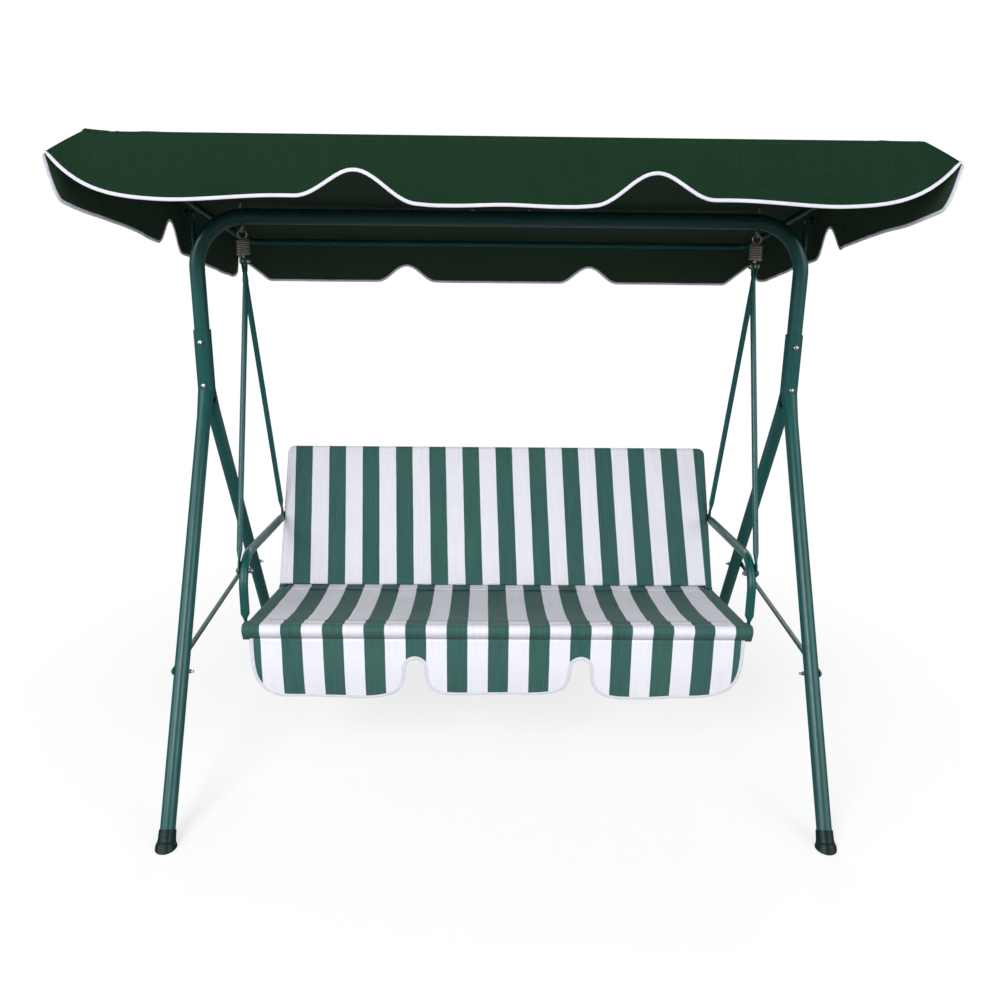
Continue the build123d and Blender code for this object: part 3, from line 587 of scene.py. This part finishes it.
def build_canopy():
    n_front, n_side, n_arc = 168, 132, 6
    n_round, n_down = 5, 16                # rings round the bend and down the valance
    centre, normal = outline(n_arc, n_front, n_side)
    loop = len(centre)
    seg_x, seg_y = 2 * n_arc + n_front, 2 * n_arc + n_side

    # the sheet inside the bend
    inner = centre + normal * (CORNER - ROUND)
    front = inner[:seg_x + 1]
    right = inner[seg_x:seg_x + seg_y + 1]
    rear = inner[seg_x + seg_y:2 * seg_x + seg_y + 1][::-1]
    left = np.concatenate([inner[2 * seg_x + seg_y:], inner[:1]])[::-1]
    grid = coons(front, rear, left, right)
    rows, cols = grid.shape[:2]
    grid_x, grid_y = grid[..., 0].ravel(), grid[..., 1].ravel()
    verts = [np.column_stack([grid_x, grid_y, canopy_top(grid_x, grid_y)])]
    cloth = [np.column_stack([grid_x, grid_y, np.ones(rows * cols)])]
    faces = grid_faces(cols, rows)
    # grid vertices on the rim, in loop order
    rim = list(range(seg_x)) + [r * cols + cols - 1 for r in range(seg_y)]
    rim += [(rows - 1) * cols + c for c in range(cols - 1, 0, -1)]
    rim += [r * cols for r in range(rows - 1, 0, -1)]

    outer = centre + normal * CORNER
    run = path_run(outer)
    total = run[-1] + np.linalg.norm(outer[0] - outer[-1])

    # the lower edge follows a sharp-cornered outline, the sheet above it a rounded one
    diagonal = 0.707109                    # just over the cosine of 45 degrees
    is_front = normal[:, 1] < -diagonal
    is_rear = normal[:, 1] > diagonal
    is_end = is_front | is_rear
    square = centre + CORNER * normal * math.sqrt(2)
    x = np.where(is_end, square[:, 0], np.sign(outer[:, 0]) * CANOPY_X)
    y = np.where(is_front, CANOPY_FRONT, np.where(is_rear, CANOPY_REAR, square[:, 1]))
    from_side = np.maximum(CANOPY_X - np.abs(x), 0)
    from_front = np.maximum(y - CANOPY_FRONT, 0)
    from_rear = np.maximum(CANOPY_REAR - y, 0)
    depth = VALANCE - valance_rise(x, y, is_front, is_rear, from_side, from_front, from_rear)

    # the lower edge stands out a little everywhere, a lot at the front corners
    near_front = np.clip(1 - np.hypot(from_side, from_front) / 0.185, 0, 1) ** 2
    near_rear = np.clip(1 - np.hypot(from_side, from_rear) / 0.140, 0, 1) ** 2
    near_front = near_front * np.where(is_end, 1.0, 0.80 + 0.20 * decay(from_front, 0.006))
    away = np.stack([np.sign(x) * (0.036 * near_front + 0.012 * near_rear),
                     np.where(y < 0, -1.0, 1.0) * (0.044 * near_front + 0.012 * near_rear)], 1)
    away += normal * (0.007 * (1 - near_front) * (1 - near_rear))[:, None]
    turn = run * (2 * math.pi / total)
    wave = ((0.0022 * np.sin(turn * 13 + 0.6) + 0.0016 * np.sin(turn * 29 + 2.2)
             + 0.0010 * np.sin(turn * 47 + 4.0)) * (1 - near_front) * (1 - near_rear))
    # cloth beside each notch curls slightly outward
    from_notch = np.abs(np.abs(x) - 0.283)
    curl = np.where(is_end, bell(from_notch - 0.075, half=0.07, rise=0.0035),
                    bell(np.abs(y - SIDE_NOTCH_Y) - 0.075, half=0.06, rise=0.0030))

    # the cloth bends over the edge, leaves on a tangent and runs straight to the lower edge
    tip_xy = np.column_stack([x, y]) + away
    tip_z = plane_z(y) - depth
    reach = tip_xy - inner
    level = np.linalg.norm(reach, axis=1)
    way = reach / level[:, None]
    below = plane_z(tip_xy[:, 1]) - tip_z - ROUND
    far = np.hypot(level, below)
    wrap = np.arctan2(below, level) + np.arcsin(np.clip(ROUND / far, -1, 1))
    straight = np.sqrt(np.maximum(far ** 2 - ROUND ** 2, 1e-8))

    def hang(outward, down):
        xy = inner + way * outward[:, None]
        return xy, plane_z(xy[:, 1]) - down

    rings = []                             # (xy, z, distance from the sheet)
    for i in range(1, n_round + 1):
        phi = wrap * i / n_round
        xy, z = hang(ROUND * np.sin(phi), ROUND * (1 - np.cos(phi)))
        rings.append((xy, z, ROUND * phi))
    for i in range(1, n_down + 1):
        t = i / n_down
        length = straight * t
        xy, z = hang(ROUND * np.sin(wrap) + length * np.cos(wrap),
                     ROUND * (1 - np.cos(wrap)) + length * np.sin(wrap))
        bulge = 0.0016 * math.sin(math.pi * t)
        xy = xy + normal * (wave * t ** 1.4 + curl * t ** 2 + bulge)[:, None]
        rings.append((xy, z, ROUND * wrap + length))
    previous = rim
    for k, (xy, z, distance) in enumerate(rings):
        start = rows * cols + k * loop
        verts.append(np.column_stack([xy, z]))
        cloth.append(np.column_stack([run, -distance, distance]))
        current = list(range(start, start + loop))
        for i in range(loop):
            j = (i + 1) % loop
            faces.append((previous[i], current[i], current[j], previous[j]))
        previous = current
    cover = make_mesh("canopy_cover_cloth", np.vstack(verts), faces, np.vstack(cloth), "canopy")
    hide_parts("canopy_cover")

    # binding tape along the lower edge
    edge = verts[-1]
    up = unit(verts[-2] - edge)
    tangent = unit(np.roll(edge, -1, 0) - np.roll(edge, 1, 0))
    out = unit(np.cross(tangent, up))
    sweep_tape("canopy_edge_binding", edge, np.cross(out, tangent), out, half_h=0.0035,
               half_t=0.0018, lift=0.0020, closed=True, body="canopy")


# ------------------------------------------------------------------ seat sling
# vectors in the (y, z) plane
SEAT_L = float(np.linalg.norm(REAR - FRONT))
ALONG = (REAR - FRONT) / SEAT_L            # from the front tube to the rear tube
ACROSS = np.array([-ALONG[1], ALONG[0]])   # up out of the seat
R_MID = TUBE_R + 0.00006 + HALF_T          # middle of the cloth round a tube
SEAM_FRONT = FRONT + np.array([-0.0035, -0.0255])
SEAM_REAR = REAR + np.array([0.002, -0.0190])


def tube_arc(centre, start, end, count):
    """Points round a tube between two angles in degrees."""
    angles = np.radians(np.linspace(start, end, count))
    return [centre + R_MID * np.array([math.cos(a), math.sin(a)]) for a in angles]


def tangent_angles(centre, point):
    """Angles where the two tangents from a point touch the cloth round a tube."""
    offset = point - centre
    base = math.degrees(math.atan2(offset[1], offset[0]))
    spread = math.degrees(math.acos(R_MID / float(np.linalg.norm(offset))))
    return base - spread, base + spread


def sleeve_end(centre, stations):
    """Points under the sheet from (distance along the seat, drop below the sheet)."""
    return [centre + ALONG * run + ACROSS * (R_MID - drop) for run, drop in stations]


def build_sling():
    n_sheet, cols = 54, 181
    top = math.degrees(math.atan2(ACROSS[1], ACROSS[0]))
    seam_start, seam_end = tangent_angles(FRONT, SEAM_FRONT)
    # front sleeve: from under the sheet, behind and below the tube, round it to the top
    path = sleeve_end(FRONT, ((0.046, 0.0016), (0.034, 0.0019), (0.022, 0.0045)))
    path += tube_arc(FRONT, 12, seam_end, 5)
    path += [FRONT + (SEAM_FRONT - FRONT) * 0.93 + np.array([0.0022, 0.0]), SEAM_FRONT]
    path += tube_arc(FRONT, seam_start, top - 360, 16)
    sheet_start = len(path)
    path += [FRONT + ALONG * (SEAT_L * i / n_sheet) + ACROSS * R_MID
             for i in range(1, n_sheet + 1)]
    sheet_end = len(path)
    # rear sleeve: down behind the tube, back under it and up to the sheet
    path += tube_arc(REAR, top, -62, 16)[1:]
    path += [SEAM_REAR + np.array([-0.004, -0.0005])]
    path += tube_arc(REAR, -140, -196, 5)
    path += sleeve_end(REAR, ((-0.024, 0.0045), (-0.036, 0.0019), (-0.048, 0.0016)))
    path = np.array(path)
    run = path_run(path)
    s_along = np.clip((path - FRONT) @ ALONG, -0.02, SEAT_L + 0.02)
    # half width: wider at the front tube, narrower at the rear tube
    half = (0.611 + 0.0130 * smooth_step((0.045 - s_along) / 0.04)
            - 0.0135 * smooth_step((s_along - (SEAT_L - 0.062)) / 0.034))
    spread = np.linspace(-1, 1, cols)
    spread = np.sign(spread) * (np.abs(spread) ** 0.97)
    verts, cloth = [], []
    for i, point in enumerate(path):
        x = spread * half[i]
        s = s_along[i] / SEAT_L
        # the free sheet sags between the tubes and stays up at its sides
        free = max(0.0, min(1.0, s)) if sheet_start <= i < sheet_end else 0.0
        shape = (4 * free * (1 - free)) ** 0.9
        edge = smooth_step((0.603 - np.abs(x)) / 0.075)
        ridge = 0.0030 * np.exp(-(x / 0.10) ** 2) * shape
        sag = 0.0170 * shape * edge * (0.82 + 0.18 * np.cos(x * 4.2)) - ridge
        # fine puckers beside the tubes, soft waves between them
        near_tubes = math.exp(-(free / 0.10) ** 2) + math.exp(-((1 - free) / 0.12) ** 2)
        pucker = (0.0011 * np.sin(x * 74 + 1.7 * np.sin(x * 13)) * edge * near_tubes
                  * min(1.0, free * 30) * min(1.0, (1 - free) * 30))
        soft = 0.0009 * np.sin(x * 19 + s * 5) * np.sin(s * 17 + 1.0) * shape * edge
        lift = -sag + pucker + soft
        side = 0.0012 * np.sin(s * 26.0) * shape
        wavy_x = x + np.sign(x) * side * smooth_step((np.abs(x) - 0.56) / 0.05)
        verts.append(np.column_stack([wavy_x, point[0] + ACROSS[0] * lift,
                                      point[1] + ACROSS[1] * lift]))
        cloth.append(np.column_stack([x * SEAT_STRIPE + SEAT_STRIPE_START,
                                      np.full(cols, run[i]), half[i] - np.abs(x)]))
    faces = flipped(grid_faces(cols, len(path)))
    sling = make_mesh("seat_sling_cloth", np.vstack(verts), faces, np.vstack(cloth), "bench")
    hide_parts("seat_fabric")


# ------------------------------------------------------------- seat front flap
# Lower edge of the left half, from the left side inward: (x, z), listed in mm.
FLAP_EDGE = np.array([
    (-606, 412), (-606, 370), (-603, 330), (-597, 305), (-586, 286), (-567, 268), (-530, 255),
    (-440, 250), (-367, 249), (-300, 252), (-262, 262), (-241, 281), (-232, 308), (-230, 336),
    (-226, 348), (-216, 356), (-205, 359), (-194, 356), (-184, 348), (-180, 336), (-178, 308),
    (-168, 283), (-148, 268), (-110, 261), (-40, 259)]) / 1000


def catmull(points, per=12):
    """Catmull-Rom curve through the points, with per steps between neighbours."""
    ends = np.vstack([2 * points[0] - points[1], points, 2 * points[-1] - points[-2]])
    curve = []
    for a, b, c, d in zip(ends, ends[1:], ends[2:], ends[3:]):
        for k in range(per):
            t = k / per
            curve.append(0.5 * ((2 * b) + (c - a) * t + (2 * a - 5 * b + 4 * c - d) * t * t
                                + (3 * b - a - 3 * c + d) * t ** 3))
    curve.append(points[-1])
    return np.array(curve)


def resample(points, step):
    run = path_run(points)
    even = np.linspace(0, run[-1], max(2, int(round(run[-1] / step))) + 1)
    return np.column_stack([np.interp(even, run, column) for column in points.T])


def flap_offset(x, drop):
    """How far the hanging flap stands out of its plane (negative is towards the front)."""
    full_drop = 0.16
    wave = (0.0034 * np.sin(x * 13.0 + 0.7) + 0.0022 * np.sin(x * 29.0 + 2.0)
            + 0.0010 * np.sin(x * 61.0))
    deep = np.clip(drop / full_drop, 0, 1)
    belly = -0.0040 * np.sin(np.pi * deep * 0.9)
    return (belly * smooth_step(deep * 2) + wave * (drop / full_drop) ** 1.3
            + 0.006 * (drop / full_drop) ** 2)


def build_flap():
    rows, top_half = 20, 0.6065
    curve = resample(catmull(np.vstack([FLAP_EDGE, FLAP_EDGE[::-1] * (-1, 1)])), step=0.0045)
    count = len(curve)
    top_z = SEAM_FRONT[1] + 0.0035
    top_x = curve[:, 0] * (top_half / abs(curve[0, 0]))
    verts, cloth = [], []
    # columns hang from the seam down to the curved edge
    for r in range(rows + 1):
        t = r / rows
        x = top_x * (1 - t) + curve[:, 0] * t
        z = top_z * (1 - t) + curve[:, 1] * t
        drop = top_z - z
        verts.append(np.column_stack([x, SEAM_FRONT[0] - 0.0021 + flap_offset(x, drop), z]))
        hem = np.ones(count) if r == 0 else np.where(drop < 0.02, drop + 0.004, 1.0)
        cloth.append(np.column_stack([x * SEAT_STRIPE + SEAT_STRIPE_START, drop + 0.6, hem]))
    faces = flipped(grid_faces(count, rows + 1))
    make_mesh("seat_front_flap", np.vstack(verts), faces, np.vstack(cloth), "bench")

    # binding tape: inward is square to the edge, in the plane of the flap
    edge = verts[-1]
    tangent = unit(np.gradient(edge, axis=0))
    inward = unit(np.column_stack([-tangent[:, 2], np.zeros(count), tangent[:, 0]]))
    inward *= np.sign(inward[count // 2, 2])
    sweep_tape("seat_flap_binding", edge, inward, unit(np.cross(tangent, inward)),
               half_h=0.0048, half_t=0.0017, lift=0.0030, closed=False, body="bench")


# ------------------------------------------------------------- backrest pocket
BACK_RISE = np.array([0.228, 0.355])       # (y, z) from the rear tube to the top of the frame
BACK_FRAME_R = 0.011
BACK_GAP = 0.00005                         # between frame and cloth
BACK_CORNER = 0.020
SLIT = np.array([0.2108, 0.553])           # (y, z) of the opening in each side


def build_backrest():
    """Pocket over the frame. u runs up the back from the rear tube, depth towards the front."""
    n_arc, n_side, n_top, n_turn = 5, 60, 150, 12
    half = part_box("backrest_frame")[1].x + BACK_GAP + HALF_T
    up = unit(BACK_RISE)
    facing = np.array([-up[1], up[0]])
    radius = BACK_FRAME_R + BACK_GAP + HALF_T
    u0, u1 = 0.0135, math.hypot(*BACK_RISE) + radius

    # outline stations: arc centre (x, u) and outward angle,
    # up the left side, over the top, down the right side
    arc_x, arc_u = half - BACK_CORNER, u1 - BACK_CORNER
    tall = arc_u - u0
    stations = [(-arc_x, u0 + tall * i / n_side, 180) for i in range(n_side + 1)]
    stations += [(-arc_x, arc_u, 180 - 90 * i / (2 * n_arc)) for i in range(1, 2 * n_arc)]
    stations += [(-arc_x + 2 * arc_x * i / n_top, arc_u, 90) for i in range(n_top + 1)]
    stations += [(arc_x, arc_u, 90 - 90 * i / (2 * n_arc)) for i in range(1, 2 * n_arc)]
    stations += [(arc_x, arc_u - tall * i / n_side, 0) for i in range(n_side + 1)]
    stations = np.array(stations)
    centre, angle = stations[:, :2], np.radians(stations[:, 2])
    normal = np.stack([np.cos(angle), np.sin(angle)], 1)
    count = len(centre)

    # front and back panels inside the rounded edge
    i_left = n_side + n_arc                # outline indices of the panel corners
    i_right = i_left + 2 * n_arc + n_top
    inner = centre + normal * (BACK_CORNER - radius)
    left = inner[:i_left + 1]
    top = inner[i_left:i_right + 1]
    right = inner[i_right:][::-1]
    share = (top[:, 0] - top[0, 0]) / (top[-1, 0] - top[0, 0])
    bottom = np.column_stack([left[0, 0] + share * (right[0, 0] - left[0, 0]),
                              np.full(len(top), u0)])
    grid = coons(bottom, top, left, right)
    rows, cols = grid.shape[:2]
    grid_x, grid_u = grid[..., 0].ravel(), grid[..., 1].ravel()
    t = np.clip((grid_u - u0) / (u1 - radius - u0), 0, 1)
    in_side = smooth_step((np.abs(inner[0, 0]) - np.abs(grid_x)) / 0.20)
    in_top = smooth_step((1 - t) / 0.45)
    sag = 0.0052 * in_side * in_top
    ripple = (0.0013 * np.sin(grid_x * 17 + 0.8 * np.sin(grid_x * 5)) * in_side
              * smooth_step((1 - t) / 0.9)
              + 0.0006 * np.sin(grid_x * 47 + t * 3) * in_side * in_top)
    # short puckers hanging from the top tube
    pucker = (0.0007 * np.sin(grid_x * 88 + 2 * np.sin(grid_x * 9))
              * np.exp(-((1 - t) / 0.10) ** 2) * smooth_step((1 - t) / 0.03) * in_side)
    layers = [(grid_x, grid_u, radius - sag + ripple + pucker),
              (grid_x, grid_u, -(radius - sag * 0.8 + ripple * 0.6))]
    panel = rows * cols
    faces = grid_faces(cols, rows) + flipped(grid_faces(cols, rows, start=panel))

    # rounded edge from the front panel to the back panel, open at the slits
    rim = [r * cols for r in range(rows)] + [(rows - 1) * cols + c for c in range(1, cols)]
    rim += [r * cols + cols - 1 for r in range(rows - 2, -1, -1)]
    slit_u = (SLIT - REAR) @ up
    outer_u = centre[:, 1] + normal[:, 1] * BACK_CORNER
    at_slit = (np.abs(normal[:, 1]) < 0.2) & (np.abs(outer_u - slit_u) < 0.0145)
    previous = rim
    for k in range(1, n_turn + 1):
        phi = math.pi / 2 - math.pi * k / n_turn
        if k < n_turn:
            ring = centre + normal * (BACK_CORNER - radius * (1 - math.cos(phi)))
            layers.append((ring[:, 0], ring[:, 1], np.full(count, radius * math.sin(phi))))
            start = 2 * panel + (k - 1) * count
            current = list(range(start, start + count))
        else:
            current = [i + panel for i in rim]
        middle_depth = radius * math.sin(phi + math.pi / n_turn / 2)
        for i in range(count - 1):
            if at_slit[i] and abs(middle_depth) < 0.0085:
                continue
            faces.append((previous[i], previous[i + 1], current[i + 1], current[i]))
        previous = current

    x, u, depth = (np.concatenate(column) for column in zip(*layers))
    verts = np.column_stack([x, REAR[0] + up[0] * u + facing[0] * depth,
                             REAR[1] + up[1] * u + facing[1] * depth])
    # a white strip comes first at the left edge, then green; the stripes lean slightly
    strip, lean = 0.020, 0.015
    stripe = (x * BACK_STRIPE + 0.6245 - strip - lean * (u1 - u) / (u1 - u0)
              + 10 * STRIPE_PITCH)
    cloth = np.column_stack([stripe, u, u - u0])
    pocket = make_mesh("backrest_cloth", verts, faces, cloth, "bench")
    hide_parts("backrest_fabric")


build_canopy()
build_sling()
build_flap()
build_backrest()


# --------------------------------------------------------- finish on CAD parts
def find_slots(value, found):
    """Collect node name -> material slot wherever the record keeps it."""
    if isinstance(value, dict):
        name = value.get("node") or value.get("name") or value.get("id")
        slot = value.get("material_slot") or value.get("material")
        if isinstance(name, str) and isinstance(slot, str):
            found[name] = slot
        value = list(value.values())
    if isinstance(value, list):
        for item in value:
            find_slots(item, found)
    return found


recorded = find_slots(frame["record"], {})


def slot_for(name):
    """The recorded slot, or one chosen from the name."""
    if recorded.get(name) in MATERIALS:
        return recorded[name]
    if name == "canopy_cover":
        return "canopy_fabric"
    if "fabric" in name:
        return "striped_fabric"
    if name.startswith("spring"):
        return "spring_steel"
    if name.startswith("foot") or "knob" in name or "plugs" in name:
        return "black_plastic"
    if any(word in name for word in ("bolt", "nut", "screw", "eye", "spacer")):
        return "zinc_fastener"
    return "frame_paint"


for name, ob in frame["nodes"].items():
    slot = slot_for(name)
    ob.data.materials.clear()
    ob.data.materials.append(MATERIALS[slot])
    for polygon in ob.data.polygons:
        polygon.material_index = 0

# ---------------------------------------------------------------------- camera
CAMERA_AT = (-0.0342, -2.4675, 1.4265)
CAMERA_DOWN = math.radians(17.09)
CAMERA_YAW = math.radians(-0.928)
CAMERA_ROLL = math.radians(0.643)


def build_camera():
    cos_y, sin_y = math.cos(CAMERA_YAW), math.sin(CAMERA_YAW)
    cos_d, sin_d = math.cos(CAMERA_DOWN), math.sin(CAMERA_DOWN)
    cos_r, sin_r = math.cos(CAMERA_ROLL), math.sin(CAMERA_ROLL)
    level_right = Vector((cos_y, sin_y, 0))
    level_up = Vector((-sin_y * sin_d, cos_y * sin_d, cos_d))
    forward = Vector((-sin_y * cos_d, cos_y * cos_d, -sin_d))
    right = level_right * cos_r + level_up * sin_r
    up = level_up * cos_r - level_right * sin_r
    data = bpy.data.cameras.new("camera")
    data.sensor_width = 36.0
    data.lens = 34.362
    data.clip_start, data.clip_end = 0.05, 100.0
    camera = bpy.data.objects.new("camera", data)
    scene.collection.objects.link(camera)
    rows = [(right[i], up[i], -forward[i], CAMERA_AT[i]) for i in range(3)]
    camera.matrix_world = Matrix((*rows, (0, 0, 0, 1)))
    scene.camera = camera


# ----------------------------------------------------------------------- floor
def floor_material():
    """Grey floor, lifted for the camera and fading to white away from the bench."""
    surf = Surface("studio_floor")
    surf.set(color=(0.46, 0.46, 0.463, 1.0), rough=0.9, spec=0.0)
    rays = surf.node("LightPath").outputs
    camera_glow = 0.60
    glow = surf.emission(1, surf.mul(rays["Is Camera Ray"], camera_glow))
    lit = surf.node("AddShader", {0: surf.bsdf.outputs[0], 1: glow}).outputs[0]
    seen = surf.mix_shader(rays["Is Glossy Ray"], lit, surf.emission(grey=0.16))
    x, y, _ = surf.split(surf.coords())
    distance = surf.math("SQRT", surf.add(surf.mul(x, x), surf.mul(y, y)))
    far = surf.ramp(distance, span=(0.9, 2.1), smooth=True)
    paper = surf.mix_shader(surf.mul(rays["Is Camera Ray"], far), seen,
                            surf.emission(1, PAPER_WHITE))
    surf.put(surf.output.inputs["Surface"], paper)
    return surf.mat


def build_floor():
    half, z = 14.0, -0.0002
    mesh = bpy.data.meshes.new("floor")
    corners = [(-half, -half, z), (half, -half, z), (half, half, z), (-half, half, z)]
    mesh.from_pydata(corners, [], [(0, 1, 2, 3)])
    floor = bpy.data.objects.new("floor", mesh)
    scene.collection.objects.link(floor)
    mesh.materials.append(floor_material())


# ---------------------------------------------------------------------- lights
# Strip lights seen in reflections: azimuth from the front and half width in degrees,
# lowest and highest direction z, power.
STRIPS = [(-58, 13, 0.05, 0.75, 2.6), (64, 10, 0.05, 0.70, 1.9),
          (-150, 16, 0.10, 0.60, 1.2), (140, 14, 0.10, 0.60, 1.2)]


def build_world():
    """White to the camera, a soft dome for diffuse light, a dark room for reflections."""
    world = bpy.data.worlds.new("studio")
    scene.world = world
    world.use_nodes = True
    sky = Shader(world.node_tree)
    output = sky.node("OutputWorld")
    rays = sky.node("LightPath").outputs
    x, y, z = sky.split(sky.coords("Generated"))
    front = sky.ramp(sky.mul(y, -1.0), span=(-0.5, 0.9), to=(0.74, 1.26), smooth=True)
    dome = sky.mul(sky.ramp(z, span=(0.25, 0.80), to=(0.98, 0.46), smooth=True), front)
    azimuth = sky.math("ARCTAN2", x, sky.mul(y, -1.0))

    gloss = sky.ramp(z, span=(-0.1, 0.8), to=(0.10, 0.30), smooth=True)
    for at, half, low, high, power in STRIPS:
        offset = sky.absolute(sky.sub(azimuth, math.radians(at)))
        span = (math.radians(half), math.radians(half + 9))
        across = sky.ramp(offset, span, to=(1.0, 0.0), smooth=True)
        above = sky.ramp(z, span=(low - 0.1, low), smooth=True)
        under = sky.ramp(z, span=(high, high + 0.12), to=(1.0, 0.0), smooth=True)
        gloss = sky.add(gloss, sky.mul(sky.mul(sky.mul(across, above), under), power))

    glossy = rays["Is Glossy Ray"]
    level = sky.add(sky.mul(glossy, gloss), sky.mul(sky.sub(1.0, glossy), dome))
    level = sky.math("MAXIMUM", level, sky.mul(rays["Is Camera Ray"], PAPER_WHITE))
    background = sky.node("Background", {0: (1.0, 1.0, 1.0, 1.0), 1: level})
    sky.put(output.inputs[0], background.outputs[0])


def softbox(name, place, target, size, watts):
    data = bpy.data.lights.new(name, "AREA")
    data.shape = "RECTANGLE"
    data.size, data.size_y = size
    data.energy = watts
    light = bpy.data.objects.new(name, data)
    scene.collection.objects.link(light)
    light.location = place
    light.rotation_mode = "QUATERNION"
    light.rotation_quaternion = (Vector(target) - Vector(place)).to_track_quat("-Z", "Y")


build_camera()
build_floor()
build_world()
softbox("key", place=(-1.8, -4.0, 2.9), target=(0, 0, 0.6), size=(1.8, 1.8), watts=96)
softbox("fill", place=(3.0, -3.2, 2.4), target=(0, 0, 0.6), size=(2.2, 2.2), watts=36)
softbox("back", place=(0.6, 3.6, 2.8), target=(0, 0, 0.8), size=(2.4, 1.4), watts=34)

scene.view_settings.view_transform = "Standard"
scene.view_settings.look = "None"
